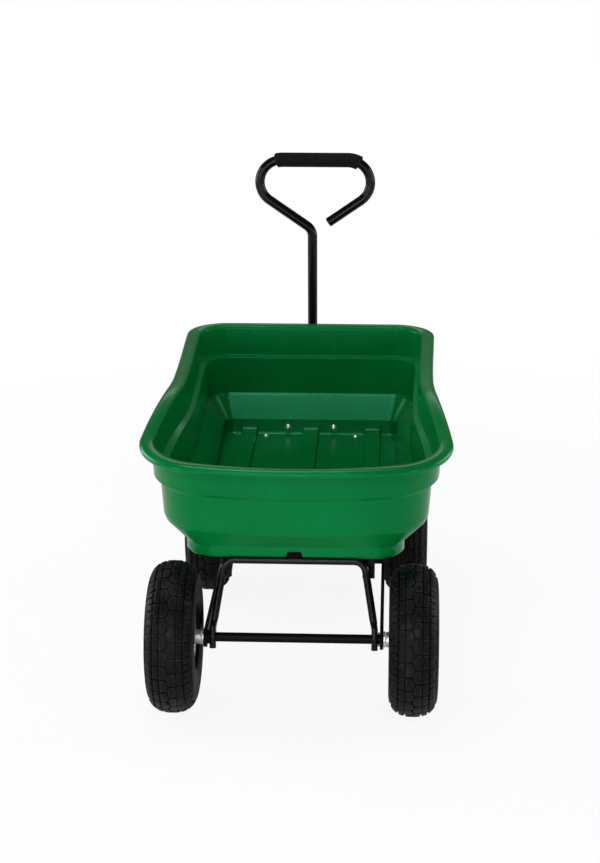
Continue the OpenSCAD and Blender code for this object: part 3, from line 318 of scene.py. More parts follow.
def pale_floor():
    """The plain pale floor: white when seen or mirrored, greyer under the cart, and lit as
    usual for all other light."""
    f = Finish("pale_floor")
    seen = f.node("ShaderNodeLightPath", {"output": "Is Camera Ray"})
    mirrored = f.node("ShaderNodeLightPath", {"output": "Is Glossy Ray"})
    reach = f.node("ShaderNodeVectorMath", {"operation": "LENGTH", "output": "Value"}, f.place)
    lit = f.node("ShaderNodeBsdfDiffuse", {}, Color=(0.86, 0.86, 0.86, 1))
    white = f.node("ShaderNodeEmission", {}, Strength=1.0)
    shadow = 0.90 + 0.10 * reach.between(0.6, 2.2)
    sheen = 0.80 * reach.between(0.25, 0.7) - 0.60 * reach.between(1.0, 1.8)
    share = seen * shadow + mirrored * sheen
    mixed = f.node("ShaderNodeMixShader", {}, share, lit, white)
    out = f.tree.nodes.new("ShaderNodeOutputMaterial")
    f.feed(out.inputs["Surface"], mixed)
    return f.material


FINISH = {make.__name__: make() for make in (
    moulded_green, black_enamel, black_powder, zinc_plate, silver_rim, tread_rubber,
    smooth_rubber, foam_skin, natural_nylon, pale_floor)}

SLOT_FINISH = {
    "green_plastic": "moulded_green", "black_steel": "black_powder", "zinc_steel": "zinc_plate",
    "tyre_rubber": "tread_rubber", "black_rubber": "smooth_rubber", "foam": "foam_skin",
    "nylon": "natural_nylon"}

NODE_SLOT = {part["node"]: part["material_slot"] for part in frame["record"]["subparts"]}
NODE_BODY = {node: body for body, nodes in frame["record"]["behaviour"]["bodies"].items()
             for node in nodes}


# ---------------------------------------------------------------- mesh helpers

def piece(name, mesh, finish, node, crease=40):
    """Shows a mesh in place of a CAD node, on the node's body."""
    mesh.materials.clear()
    mesh.materials.append(FINISH[finish])
    mesh.shade_smooth()
    mesh.set_sharp_from_angle(angle=math.radians(crease))
    made = bpy.data.objects.new(name, mesh)
    bpy.context.collection.objects.link(made)
    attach(made, NODE_BODY[node])
    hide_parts(node)
    return made


def mesh_of(name, points, faces):
    """A mesh from points in millimetres, with its doubles merged and its faces turned outwards."""
    bm = bmesh.new()
    verts = [bm.verts.new(Vector(p) * MM) for p in points]
    for face in faces:
        corners = [verts[i] for i in dict.fromkeys(face)]
        if len(corners) > 2:
            bm.faces.new(corners)
    bmesh.ops.remove_doubles(bm, verts=bm.verts, dist=1e-7)
    bmesh.ops.dissolve_degenerate(bm, edges=bm.edges, dist=1e-7)
    bmesh.ops.recalc_face_normals(bm, faces=bm.faces)
    mesh = bpy.data.meshes.new(name)
    bm.to_mesh(mesh)
    bm.free()
    return mesh


def skin(rings, closed_ring=True, closed_path=False, caps=True):
    """Points and faces of a skin over rings that all have the same number of points."""
    n = len(rings[0])
    points = [p for ring in rings for p in ring]
    faces = []
    for k in range(len(rings) if closed_path else len(rings) - 1):
        a, b = k * n, (k + 1) % len(rings) * n
        for i in range(n if closed_ring else n - 1):
            j = (i + 1) % n
            faces.append((a + i, a + j, b + j, b + i))
    if caps and not closed_path:
        faces.append(tuple(range(n)))
        faces.append(tuple((len(rings) - 1) * n + i for i in range(n)))
    return points, faces


def rounded(points, radius, steps=4):
    """A polyline with each corner eased over about the given length. Points may have any size."""
    out = [points[0]]
    for i in range(1, len(points) - 1):
        a, b, c = (Vector(points[k]) for k in (i - 1, i, i + 1))
        size = max((b - a).length, 1e-9), max((c - b).length, 1e-9)
        start = b + (a - b) * min(0.5, radius / size[0])
        end = b + (c - b) * min(0.5, radius / size[1])
        for k in range(steps + 1):
            t = k / steps
            out.append(tuple(start * (1 - t) ** 2 + b * (2 * t * (1 - t)) + end * t ** 2))
    out.append(points[-1])
    return out


def lathe(profile, centre, side, segments=96):
    """Points and faces of a closed profile of (outboard, radius), turned about a wheel's axle."""
    rings = []
    for k in range(segments):
        a = 2 * math.pi * k / segments
        rings.append([(centre[0] + side * x, centre[1] + r * math.sin(a), centre[2] + r * math.cos(a))
                      for x, r in profile])
    return skin(rings, closed_path=True)


def bevelled_copy(node, width):
    """A CAD node's own shape with its flat faces joined and its edges eased."""
    bm = bmesh.new()
    bm.from_mesh(frame["nodes"][node].data)
    bmesh.ops.remove_doubles(bm, verts=bm.verts, dist=2e-6)
    bmesh.ops.dissolve_limit(bm, angle_limit=math.radians(0.4), verts=bm.verts, edges=bm.edges)
    mesh = bpy.data.meshes.new(node)
    bm.to_mesh(mesh)
    bm.free()
    made = piece(f"{node}_dressed", mesh, SLOT_FINISH[NODE_SLOT[node]], node, crease=30)
    bevel = made.modifiers.new("eased_edges", "BEVEL")
    bevel.width = width * MM
    bevel.segments = 2
    bevel.limit_method = "ANGLE"
    bevel.angle_limit = math.radians(32)
    bevel.harden_normals = True
    return made


# ---------------------------------------------------------------- tray

class Tray:
    """The moulded tray. Heights are above its underside and lengths are from the rear axle."""
    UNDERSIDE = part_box("tray")[0].z / MM
    NEAR, FAR = 30, 724
    FOOT_HALF = (182, 169, 172)
    SIDE_FLARE = (69, 47, 51)
    END_FLARE = 30
    END_BOW = 46
    WALL = 4
    FOOT_R, RIM_R = (46, 18), (75, 58)
    RISE = (-20, 300)
    RIB_PITCH, RIB_W, RIB_H, RIB_DRAFT = 124, 34, 10, 2
    LIP, LIP_DROP = 22, 13
    DEPTH = (171, 223)
    FOOT = (19, 31)
    LOW = (45, 74)
    HIGH = (113, 158)
    EASE = 1.3
    CORNER_STEPS, SIDE_STEPS = 22, 56


def smooth(t):
    """0 up to 0, 1 from 1 on, and a cosine ramp in between."""
    return (1 - math.cos(math.pi * min(1, max(0, t)))) / 2


def waisted(widths, t):
    """A width a share t of the way along three widths, at the near end, the middle and the far end."""
    if t < 0.5:
        return widths[0] + (widths[1] - widths[0]) * smooth(2 * t)
    return widths[1] + (widths[2] - widths[1]) * smooth(2 * t - 1)


def rib_shape(x, half_foot, half_top):
    """1 on a rib's top, 0 on the floor beside it."""
    nearest = min(abs(x - k * Tray.RIB_PITCH) for k in (-1, 0, 1))
    return smooth((half_foot - nearest) / (half_foot - half_top))


def floor_columns():
    """Distances across the half floor that catch the edges of each rib and of its hollow."""
    half = Tray.RIB_W / 2
    edges = [half + 0.4 - 0.65 * k for k in range(6)] + [half - 4.6 - 0.7 * k for k in range(5)]
    edges = sorted(edges + [half + 2.2, half - 10, 4])
    columns = [0] + edges + [half + 8, half + 22, half + 36, half + 50, half + 62]
    columns += [Tray.RIB_PITCH - e for e in reversed(edges)]
    columns += [Tray.RIB_PITCH] + [Tray.RIB_PITCH + e for e in edges] + [Tray.RIB_PITCH + half + 8]
    return columns


def half_outline(side, end, inset):
    """Right half of the outline, from the middle of the dump end round to that of the front."""
    t = Tray
    widths = [f + flare * side - inset for f, flare in zip(t.FOOT_HALF, t.SIDE_FLARE)]
    y0 = t.NEAR - t.END_FLARE * end + inset
    y1 = t.FAR + t.END_FLARE * end - inset
    r0, r1 = (foot_r + (rim_r - foot_r) * side - inset for foot_r, rim_r in zip(t.FOOT_R, t.RIM_R))

    def wide(y):
        """Half width at a distance along the tray."""
        return waisted(widths, (y - y0) / (y1 - y0))

    def bowed(x, y):
        """A point drawn forward by the bow of the dump end."""
        fade = min(1, max(0, 1 - 2 * (y - y0) / (y1 - y0)))
        return x, y + t.END_BOW * side * (x / widths[0]) ** 2 * fade

    reach = t.FOOT_HALF[0] - t.FOOT_R[0], t.FOOT_HALF[2] - t.FOOT_R[1]
    flat = [[x for x in floor_columns() if x < limit - 0.5] for limit in reach]
    out = [((wide(y0) - r0) * x / reach[0], y0) for x in flat[0]]
    turn = [math.pi / 2 * k / t.CORNER_STEPS for k in range(t.CORNER_STEPS + 1)]
    for a in turn:
        y = y0 + r0 * (1 - math.cos(a))
        out.append((wide(y) - r0 + r0 * math.sin(a), y))
    for k in range(1, t.SIDE_STEPS):
        y = y0 + r0 + (y1 - y0 - r0 - r1) * k / t.SIDE_STEPS
        out.append((wide(y), y))
    for a in turn:
        y = y1 - r1 * (1 - math.sin(a))
        out.append((wide(y) - r1 + r1 * math.cos(a), y))
    out += [((wide(y1) - r1) * x / reach[1], y1) for x in reversed(flat[1])]
    return [bowed(x, y) for x, y in out]


def tray_rows():
    """Rows of the skin from the underside, up the outside, over the lip and down the inside.
    Each is: share of side flare, share of end flare, inset, height near, height far, rib depth."""
    t = Tray
    w = t.WALL
    top = t.DEPTH
    outer = [
        (0.00, 0.00, 0, 0, 0, 1), (0.08, 0.12, 0, w, w, 1), (0.08, 0.12, 0, *t.FOOT, 0),
        (0.64, 0.72, 0, *t.LOW, 0), (0.70, 0.78, 0, t.LOW[0] + 9, t.LOW[1] + 9, 0),
        (0.77, 0.82, 0, t.HIGH[0] - 5, t.HIGH[1] - 5, 0), (0.96, 0.94, 0, *t.HIGH, 0),
        (1.00, 1.00, 0, top[0] - t.LIP_DROP + 1, top[1] - t.LIP_DROP + 1, 0),
        (1, 1, -3, top[0] - 6, top[1] - 6, 0)]
    lip = [(inset, drop) for inset, drop in (
        (-t.LIP + 5, 6), (-t.LIP + 4, t.LIP_DROP), (-t.LIP + 1, t.LIP_DROP), (-t.LIP, t.LIP_DROP - 3),
        (-t.LIP, 6.5), (-t.LIP + 1.4, 3.4), (-t.LIP + 4.5, 1.2), (-t.LIP + 9, 0), (-9, 0), (-4, 1), (1, 3))]
    rolled = [(1, 1, inset, top[0] - drop, top[1] - drop, 0) for inset, drop in lip]
    inner = [
        (1.00, 1.00, w, top[0] - 7, top[1] - 7, 0), (0.96, 0.94, w, t.HIGH[0] + w, t.HIGH[1] + w, 0),
        (0.77, 0.82, w, t.HIGH[0] + w - 5, t.HIGH[1] + w - 5, 0),
        (0.70, 0.78, w, t.LOW[0] + w + 7, t.LOW[1] + w + 7, 0),
        (0.64, 0.72, w, t.LOW[0] + w, t.LOW[1] + w, 0),
        (0.08, 0.12, w, t.FOOT[0] + w, t.FOOT[1] + w, 0), (0.08, 0.12, w, 2 * w, 2 * w, 1),
        (0.00, 0.00, w, w, w, 1)]
    return outer, rolled, inner


def eased_rows(rows, length):
    """The rows with their corners eased; flare shares are weighed as the millimetres they stand for."""
    scale = (60, 24, 1, 1, 1, 12)
    stretched = [tuple(v * s for v, s in zip(row, scale)) for row in rows]
    return [tuple(v / s for v, s in zip(row, scale)) for row in rounded(stretched, length)]


def tray_height(row, x, y, hollow):
    """Height of a point of a row; hollow picks the channel below a rib rather than the rib."""
    t = Tray
    risen = smooth((y - t.RISE[0]) / (t.RISE[1] - t.RISE[0]))
    half = t.RIB_W / 2
    shape = rib_shape(x, half - 3, half - 5) if hollow else rib_shape(x, half, half - t.RIB_DRAFT)
    # The channels under the two outer ribs are closed at the dump end
    if hollow and abs(x) > half:
        shape *= smooth((y - t.NEAR - t.WALL + 1) / 2)
    return t.UNDERSIDE + row[3] + (row[4] - row[3]) * risen + row[5] * shape * t.RIB_H


def tray_ring(row, hollow):
    """The closed ring of points of one row."""
    half = half_outline(*row[:3])
    whole = half + [(-x, y) for x, y in half[-2:0:-1]]
    return [(x, y + REAR_Y, tray_height(row, x, y, hollow)) for x, y in whole]


def tray_floor(row, hollow):
    """Points and faces of one side of the floor, its edge matching the ring of that row."""
    half = half_outline(*row[:3])
    columns = floor_columns()
    across = [-x for x in reversed(columns[1:])] + columns
    rows = []
    for width, y in half:
        if rows and y == rows[-1][1]:
            rows[-1] = (max(width, rows[-1][0]), y)
        else:
            rows.append((width, y))
    grid = []
    for width, y in rows:
        xs = [max(-width, min(width, x)) for x in across]
        xs[0], xs[-1] = -width, width
        grid.append([(x, y + REAR_Y, tray_height(row, x, y, hollow)) for x in xs])
    return skin(grid, closed_ring=False, caps=False)


def add_tray():
    """The moulding: a skin over all its rows, closed by the two sides of the floor."""
    outer, rolled, inner = tray_rows()
    joined = outer + rolled + inner
    eased = eased_rows(joined, Tray.EASE)
    inside_from = len(eased) * len(outer) // len(joined)
    rings = [tray_ring(row, hollow=k < inside_from) for k, row in enumerate(eased)]
    points, faces = skin(rings, caps=False)
    for row, hollow in ((outer[0], True), (inner[-1], False)):
        more, quads = tray_floor(row, hollow)
        faces += [tuple(i + len(points) for i in quad) for quad in quads]
        points += more
    mesh = mesh_of("tray_moulding", points, faces)
    return piece("tray_moulding", mesh, "moulded_green", "tray", crease=60)


# ---------------------------------------------------------------- wheels

class Wheel:
    """Sizes of a wheel; outboard distances are from its centre plane."""
    R = extent("tyre_rear_left").z / 2
    HALF_W = extent("tyre_rear_left").x / 2
    RIM_R = 54
    FLANGE_H = 4.5
    BEAD_R = RIM_R - FLANGE_H
    SECTION_DROP = 4.2
    SECTION_R = (R + BEAD_R - SECTION_DROP) / 2
    RIM_HALF = 32
    RIM_T = 2
    BARREL_R = 40
    HUB_R = 13
    GROOVE = 3.0
    ROWS = 30
    TREAD_EDGE, TREAD_STEP = 46, 2.0
    CASING_STEPS = 108
    # Width of the eased edges of the plain parts inside
    INSIDE = {"inner_tube": 0.3, "hub": 0.4, "bushes": 0.4, "rim_bolts": 0.35}


def soft(value, power):
    """A sine or cosine raised to a power, with its sign kept."""
    return math.copysign(abs(value) ** power, value)


def tyre_point(angle, half_w, crown_h):
    """A point (outboard, radius) of the tyre's section at an angle from the crown."""
    a = math.radians(angle)
    power = 0.8 if abs(angle) < 90 else 0.57
    high = crown_h if abs(angle) < 90 else Wheel.R - Wheel.SECTION_R
    return half_w * soft(math.sin(a), power), Wheel.SECTION_R + high * soft(math.cos(a), power)


def crown_line(steps=160):
    """The tyre's outer line from the crown out to the sidewall, with its length so far."""
    section_h = Wheel.R - Wheel.SECTION_R
    line = [tyre_point(90 * k / steps, Wheel.HALF_W, section_h) for k in range(steps + 1)]
    line[0] = (0.0, Wheel.R)
    length = [0.0]
    for a, b in zip(line, line[1:]):
        length.append(length[-1] + math.dist(a, b))
    return line, length


CROWN, CROWN_LENGTH = crown_line()
WALL_BELOW_R = 108
# Depths below the crown: past the grooves' brim, over the eased edges, and on the blocks' faces
IN_GROOVE, ON_EDGE, ON_FACE = 2.4, 0.3, 0.04
# How light each zone of the tread is painted: 1 on the blocks' edges, rubbed and with a painted highlight,
# 0 in the grooves, painted as shade.
WEAR_AND_PAINTED_LIGHT = {"groove": 0.0, "wall": 0.35, "face": 0.4, "side": 0.75, "edge": 1.0}


def on_tread(across, depth):
    """(outboard, radius) of a point a distance across the tread, some depth below its face."""
    far = abs(across)
    k = next((i for i, s in enumerate(CROWN_LENGTH) if s >= far), len(CROWN_LENGTH) - 1) or 1
    a, b = CROWN[k - 1], CROWN[k]
    t = (far - CROWN_LENGTH[k - 1]) / (CROWN_LENGTH[k] - CROWN_LENGTH[k - 1])
    x, r = a[0] + (b[0] - a[0]) * t, a[1] + (b[1] - a[1]) * t
    run = math.dist(a, b)
    inward = ((b[1] - a[1]) / run, -(b[0] - a[0]) / run)
    return math.copysign(1, across) * (x + inward[0] * depth), r + inward[1] * depth


def tread_outlines():
    """Outlines (across, along) of the blocks of one row, in millimetres."""
    pitch = 2 * math.pi * Wheel.R / Wheel.ROWS
    half = pitch / 2 - 1.4
    hexagon = [(12.8, -half + 2), (12.8, half - 2), (11, half), (4.6, half), (2.6, half - 2), (-0.4, 1.6),
               (-0.4, -1.6), (2.6, -half + 2), (4.6, -half), (11, -half)]
    block = [(25.6, -half + 2), (25.6, half - 2), (24, half), (16.8, half), (15.4, half - 1.6),
             (15.4, -half + 1.6), (16.8, -half), (24, -half)]
    lug = pitch / 4 - 1.4
    out = []
    for side, shift in ((1, 0), (-1, pitch / 2)):
        out.append([(side * s, u + shift) for s, u in hexagon])
        out.append([(side * s, u + shift) for s, u in block])
        for k, reach in ((0, 45), (1, 41)):
            middle_u = shift + pitch / 4 + k * pitch / 2
            out.append([(side * s, u + middle_u) for s, u in (
                (reach, -lug + 2.5), (reach, lug - 2.5), (reach - 3, lug), (29.6, lug), (28.2, lug - 1.4),
                (28.2, -lug + 1.4), (29.6, -lug), (reach - 3, -lug))])
    return out


def shrunk(outline, amount):
    """An outline drawn in towards its middle by about an amount."""
    cx = sum(s for s, _ in outline) / len(outline)
    cy = sum(u for _, u in outline) / len(outline)
    half_s = max(abs(s - cx) for s, _ in outline)
    half_u = max(abs(u - cy) for _, u in outline)
    return [(cx + (s - cx) * (1 - amount / half_s), cy + (u - cy) * (1 - amount / half_u))
            for s, u in outline]


def tread_row():
    """One row of tread blocks about the X axis, as a plain mesh."""
    points, faces = [], []
    for outline in tread_outlines():
        base = len(points)
        rings = [(outline, Wheel.GROOVE + 0.6), (shrunk(outline, 0.35), 0.55),
                 (shrunk(outline, 0.8), 0.12), (shrunk(outline, 1.5), 0.0)]
        n = len(outline)
        for ring, depth in rings:
            for s, u in ring:
                x, r = on_tread(s, depth)
                a = u / Wheel.R
                points.append((x, r * math.sin(a), r * math.cos(a)))
        s = sum(p[0] for p in outline) / n
        u = sum(p[1] for p in outline) / n
        x, r = on_tread(s, 0)
        points.append((x, r * math.sin(u / Wheel.R), r * math.cos(u / Wheel.R)))
        for k in range(len(rings) - 1):
            for i in range(n):
                j = (i + 1) % n
                low, high = base + k * n, base + (k + 1) * n
                faces.append((low + i, low + j, high + j, high + i))
        top = base + (len(rings) - 1) * n
        faces += [(top + i, top + (i + 1) % n, top + n) for i in range(n)]
        faces.append(tuple(base + i for i in range(n)))
    return mesh_of("tread_row", points, faces)


def ring_of_rows(row, count, finish):
    """Repeats a mesh around the X axis with Geometry Nodes and returns the plain mesh."""
    tree = bpy.data.node_groups.new("rows_around", "GeometryNodeTree")
    tree.interface.new_socket("Row", in_out="INPUT", socket_type="NodeSocketObject")
    tree.interface.new_socket("Count", in_out="INPUT", socket_type="NodeSocketInt")
    tree.interface.new_socket("Finish", in_out="INPUT", socket_type="NodeSocketMaterial")
    tree.interface.new_socket("Geometry", in_out="OUTPUT", socket_type="NodeSocketGeometry")

    def add(kind, **settings):
        """A node of the tree, with its settings."""
        made = tree.nodes.new(kind)
        for key, value in settings.items():
            setattr(made, key, value)
        return made

    link = tree.links.new
    inputs = add("NodeGroupInput")
    source = add("GeometryNodeObjectInfo")
    dots = add("GeometryNodePoints")
    index = add("GeometryNodeInputIndex")
    share = add("ShaderNodeMath", operation="DIVIDE")
    angle = add("ShaderNodeMath", operation="MULTIPLY")
    angle.inputs[1].default_value = 2 * math.pi
    turn = add("ShaderNodeCombineXYZ")
    spread = add("GeometryNodeInstanceOnPoints")
    real = add("GeometryNodeRealizeInstances")
    paint = add("GeometryNodeSetMaterial")
    out = add("NodeGroupOutput")
    link(inputs.outputs["Row"], source.inputs["Object"])
    link(inputs.outputs["Count"], dots.inputs["Count"])
    link(index.outputs["Index"], share.inputs[0])
    link(inputs.outputs["Count"], share.inputs[1])
    link(share.outputs[0], angle.inputs[0])
    link(angle.outputs[0], turn.inputs["X"])
    link(dots.outputs[0], spread.inputs["Points"])
    link(source.outputs["Geometry"], spread.inputs["Instance"])
    link(turn.outputs[0], spread.inputs["Rotation"])
    link(spread.outputs[0], real.inputs[0])
    link(real.outputs[0], paint.inputs["Geometry"])
    link(inputs.outputs["Finish"], paint.inputs["Material"])
    link(paint.outputs[0], out.inputs[0])

    row_object = bpy.data.objects.new("row", row)
    holder = bpy.data.objects.new("rows", bpy.data.meshes.new("rows"))
    for o in (row_object, holder):
        bpy.context.collection.objects.link(o)
    repeat = holder.modifiers.new("rows", "NODES")
    repeat.node_group = tree
    values = {"Row": row_object, "Count": count, "Finish": FINISH[finish]}
    for item in tree.interface.items_tree:
        if item.in_out == "INPUT":
            repeat[item.identifier] = values[item.name]
    bpy.context.view_layer.update()
    seen = holder.evaluated_get(bpy.context.evaluated_depsgraph_get())
    made = bpy.data.meshes.new_from_object(seen)
    for o in (row_object, holder):
        bpy.data.objects.remove(o)
    return made


def casing_profile():
    """The tyre's section: grooves' floor under the tread, full sidewall, ribs and bead."""
    w = Wheel
    section_h = w.R - w.SECTION_R
    steps = int(w.TREAD_EDGE / w.TREAD_STEP)
    outer = [on_tread(k * w.TREAD_STEP, w.GROOVE) for k in range(-steps, steps + 1)]
    half = [tyre_point(a, w.HALF_W, section_h) for a in range(66, 124, 3)]
    half = [(x, r) for x, r in half if r < outer[-1][1] - 2]
    # Shallow moulded rings on the sidewall
    half = [(x - 0.8 * (math.sin(r * 1.1) > 0.55) * (64 < r < 96), r) for x, r in half]
    bead = [(29.7, 56), (29.7, 51.7), (27.6, 49.6), (25.5, 49.6), (25.5, 56)]
    inner = [tyre_point(a, w.HALF_W - 6, section_h - 9) for a in range(120, -1, -10)]
    right = half + bead
    profile = outer + right + inner
    profile += [(-x, r) for x, r in reversed(inner[:-1])]
    profile += [(-x, r) for x, r in reversed(right)]
    return profile


def rim_profile():
    """One pressed half of a rim as a closed line: its tyre side, then its own thickness back."""
    w = Wheel
    inside = w.RIM_HALF - w.RIM_T
    path = [(0, w.HUB_R), (0, w.BARREL_R - 9), (3, w.BARREL_R - 3), (8, w.BARREL_R - 0.5),
            (inside - 13, w.BARREL_R), (inside - 9, w.BEAD_R - 0.6), (inside - 2, w.BEAD_R - 0.6),
            (inside, w.BEAD_R + 1), (inside + 0.2, w.RIM_R - 0.6)]
    path = rounded(path, 2.2, steps=5)
    back = []
    for i, (x, r) in enumerate(path):
        a, b = path[max(i - 1, 0)], path[min(i + 1, len(path) - 1)]
        run = max(math.dist(a, b), 1e-6)
        back.append((x + (b[1] - a[1]) / run * w.RIM_T, r - (b[0] - a[0]) / run * w.RIM_T))
    tip = ((path[-1][0] + back[-1][0]) / 2, path[-1][1] + 0.6)
    return path + [tip] + back[::-1]


def moved(mesh, centre, side):
    """A copy of a mesh about the origin, set at a wheel's centre and mirrored for a left wheel."""
    made = mesh.copy()
    made.transform(Matrix.Translation(Vector(centre) * MM) @ Matrix.Diagonal((side, 1, 1, 1)))
    if side < 0:
        made.flip_normals()
    return made


def join_meshes(name, meshes):
    """One mesh of several."""
    bm = bmesh.new()
    for mesh in meshes:
        bm.from_mesh(mesh)
    made = bpy.data.meshes.new(name)
    bm.to_mesh(made)
    bm.free()
    return made


def mark_wear_and_painted_light(mesh, centre):
    """Stores how light each point of a tyre is painted: 1 on the blocks' edges, rubbed and with a painted
    highlight, 0 down in the grooves, for painted shade.
    """
    painted_light_and_rubbing = mesh.attributes.new("wear_and_painted_light", "FLOAT", "POINT")
    for vertex, value in zip(mesh.vertices, painted_light_and_rubbing.data):
        place = vertex.co / MM - centre
        far, radius = abs(place.x), math.hypot(place.y, place.z)
        k = next((i for i, (x, _) in enumerate(CROWN) if x >= far), len(CROWN) - 1)
        depth = CROWN[k][1] - radius
        if depth > IN_GROOVE:
            zone = "groove" if radius > WALL_BELOW_R else "wall"
        else:
            zone = "face" if depth < ON_FACE else "edge" if depth < ON_EDGE else "side"
        value.value = WEAR_AND_PAINTED_LIGHT[zone]


def add_wheel(corner, tread):
    """One wheel: casing with tread, the rim's two pressings, and the plain parts inside."""
    side = -1 if corner.endswith("left") else 1
    centre = middle(f"tyre_{corner}")
    casing = mesh_of("casing", *lathe(casing_profile(), centre, side, Wheel.CASING_STEPS))
    tyre = join_meshes("tyre", [casing, moved(tread, centre, side)])
    mark_wear_and_painted_light(tyre, centre)
    piece(f"tyre_{corner}_tread", tyre, "tread_rubber", f"tyre_{corner}", crease=38)
    for half, way in (("outer", 1), ("inner", -1)):
        mesh = mesh_of("rim", *lathe(rim_profile(), centre, side * way))
        piece(f"rim_{half}_{corner}_pressing", mesh, "silver_rim", f"rim_{half}_{corner}", crease=50)
    for part, edge in Wheel.INSIDE.items():
        bevelled_copy(f"{part}_{corner}", edge)


# ---------------------------------------------------------------- tubes

def unit_circle(n):
    """Points of a circle of radius 1."""
    return [(math.cos(2 * math.pi * k / n), math.sin(2 * math.pi * k / n)) for k in range(n)]


def bent_path(corners, radii, step=3.0):
    """Points and headings (across, up) along a planar path with rounded corners."""
    out = []
    last = Vector(corners[0])
    for i in range(1, len(corners)):
        b = Vector(corners[i])
        if i == len(corners) - 1:
            heading = (b - last).normalized()
            out += [(last, heading), (b, heading)]
            break
        a, c = Vector(corners[i - 1]), Vector(corners[i + 1])
        u, v = (b - a).normalized(), (c - b).normalized()
        turn = math.acos(max(-1, min(1, u.dot(v))))
        left = 1 if u.x * v.y - u.y * v.x > 0 else -1
        back = radii[i] * math.tan(turn / 2)
        start = b - u * back
        normal = Vector((-u.y, u.x)) * left
        hub = start + normal * radii[i]
        out.append((last, u))
        n = max(4, round(turn * radii[i] / step))
        for k in range(n + 1):
            t = turn * k / n * left
            spoke = Vector((-normal.x * math.cos(t) + normal.y * math.sin(t),
                            -normal.x * math.sin(t) - normal.y * math.cos(t)))
            heading = Vector((u.x * math.cos(t) - u.y * math.sin(t), u.x * math.sin(t) + u.y * math.cos(t)))
            out.append((hub + spoke * radii[i], heading))
        last = b + v * back
    return [p for k, p in enumerate(out) if k == 0 or (p[0] - out[k - 1][0]).length > 1e-6]


def leaning(point, pivot, lean):
    """A point (across, depth, up) of a plane that leans about a level axis through pivot."""
    x, y, z = point
    c, s = math.cos(lean), math.sin(lean)
    return (pivot[0] + x, pivot[1] + y * c - z * s, pivot[2] + y * s + z * c)


def tube_rings(path, radius, pivot, lean, sides=24):
    """Rings round a planar path; radius may be a number or a function of the ring's number."""
    rings = []
    for k, (p, heading) in enumerate(path):
        r = radius(k) if callable(radius) else radius
        across = Vector((-heading.y, heading.x))
        rings.append([leaning((p.x + across.x * r * c, r * s, p.y + across.y * r * c), pivot, lean)
                      for c, s in unit_circle(sides)])
    return rings


class Handle:
    """The pull handle, in its own leaning plane above the pivot."""
    D, WALL = 19, 1.5
    H = 670
    LEAN = math.radians(3)
    BEND_R, LOOP_R = 26, 45
    LEFT, RIGHT, GAP = 104, 115, 32
    SLOPE = math.radians(35)
    FORK_H = 46
    GRIP_D, GRIP_LEFT, GRIP_RIGHT = 28.5, 12, 25
    REACH, PIVOT_H = 256, 145.7
    PIVOT = (0, FRONT_Y + REACH, PIVOT_H)


def handle_corners():
    """Corners (across, up) of the handle's centre line, from the fork to the loop's free end."""
    h = Handle
    sine, cosine = math.sin(h.SLOPE), math.cos(h.SLOPE)
    arc_drop = h.LOOP_R * (1 + cosine)
    bend_h = h.H - arc_drop - (h.LEFT - h.LOOP_R + h.LOOP_R * sine) * math.tan(h.SLOPE)
    run = 1 / math.tan(h.SLOPE)
    foot = Vector((h.RIGHT - h.LOOP_R + h.LOOP_R * sine, h.H - arc_drop))
    tail = foot - Vector((cosine, sine)) * (foot.x - h.GAP) / cosine
    return [(0, h.FORK_H), (0, bend_h), (-(h.H - bend_h) * run, h.H),
            (tail.x + (h.H - tail.y) * run, h.H), tuple(tail)]


HANDLE_BENDS = [0, Handle.BEND_R, Handle.LOOP_R, Handle.LOOP_R, 0]


def add_handle():
    """The bent tube, open at both ends."""
    h = Handle
    path = bent_path(handle_corners(), HANDLE_BENDS, step=2.4)
    outer = tube_rings(path, h.D / 2, h.PIVOT, h.LEAN)
    tip = tube_rings(path[-1:], h.D / 2 - 0.4, h.PIVOT, h.LEAN)
    inner = tube_rings(path[::-1], h.D / 2 - h.WALL, h.PIVOT, h.LEAN)
    mesh = mesh_of("handle", *skin(outer + tip + inner, closed_path=True))
    piece("handle_bent_tube", mesh, "black_enamel", "handle_tube", crease=50)


def add_grip():
    """The foam sleeve, with soft rounded ends, bowed with the tube."""
    h = Handle
    path = bent_path(handle_corners(), HANDLE_BENDS, step=1.2)
    level = [k for k, (p, d) in enumerate(path) if abs(d.y) < 1e-3]
    first, last = level[0], level[-1]

    def walk(start, step, length):
        """The path's point that lies a length away from a start, in steps of 1 or -1."""
        k, gone = start, 0.0
        while gone < length:
            gone += (path[k + step][0] - path[k][0]).length
            k += step
        return k

    a, b = walk(first, -1, h.GRIP_LEFT), walk(last, 1, h.GRIP_RIGHT)
    straight = [path[first][0].lerp(path[last][0], k / 40) for k in range(1, 40)]
    stretch = path[a:first + 1] + [(p, path[first][1]) for p in straight] + path[last:b + 1]
    r, bore = h.GRIP_D / 2, h.D / 2 + 0.1
    run = [0.0]
    for p, q in zip(stretch, stretch[1:]):
        run.append(run[-1] + (q[0] - p[0]).length)

    def radius(k):
        """The sleeve's radius, rounded off towards its ends."""
        edge = min(run[k], run[-1] - run[k])
        ease = min(1, edge / 3.5)
        return bore + 1.6 + (r - bore - 1.6) * math.sqrt(1 - (1 - ease) ** 2)

    outer = tube_rings(stretch, radius, h.PIVOT, h.LEAN, sides=32)
    inner = tube_rings(stretch[::-1], bore, h.PIVOT, h.LEAN, sides=32)
    mesh = mesh_of("grip", *skin(outer + inner, closed_path=True))
    piece("foam_grip", mesh, "foam_skin", "grip", crease=60)


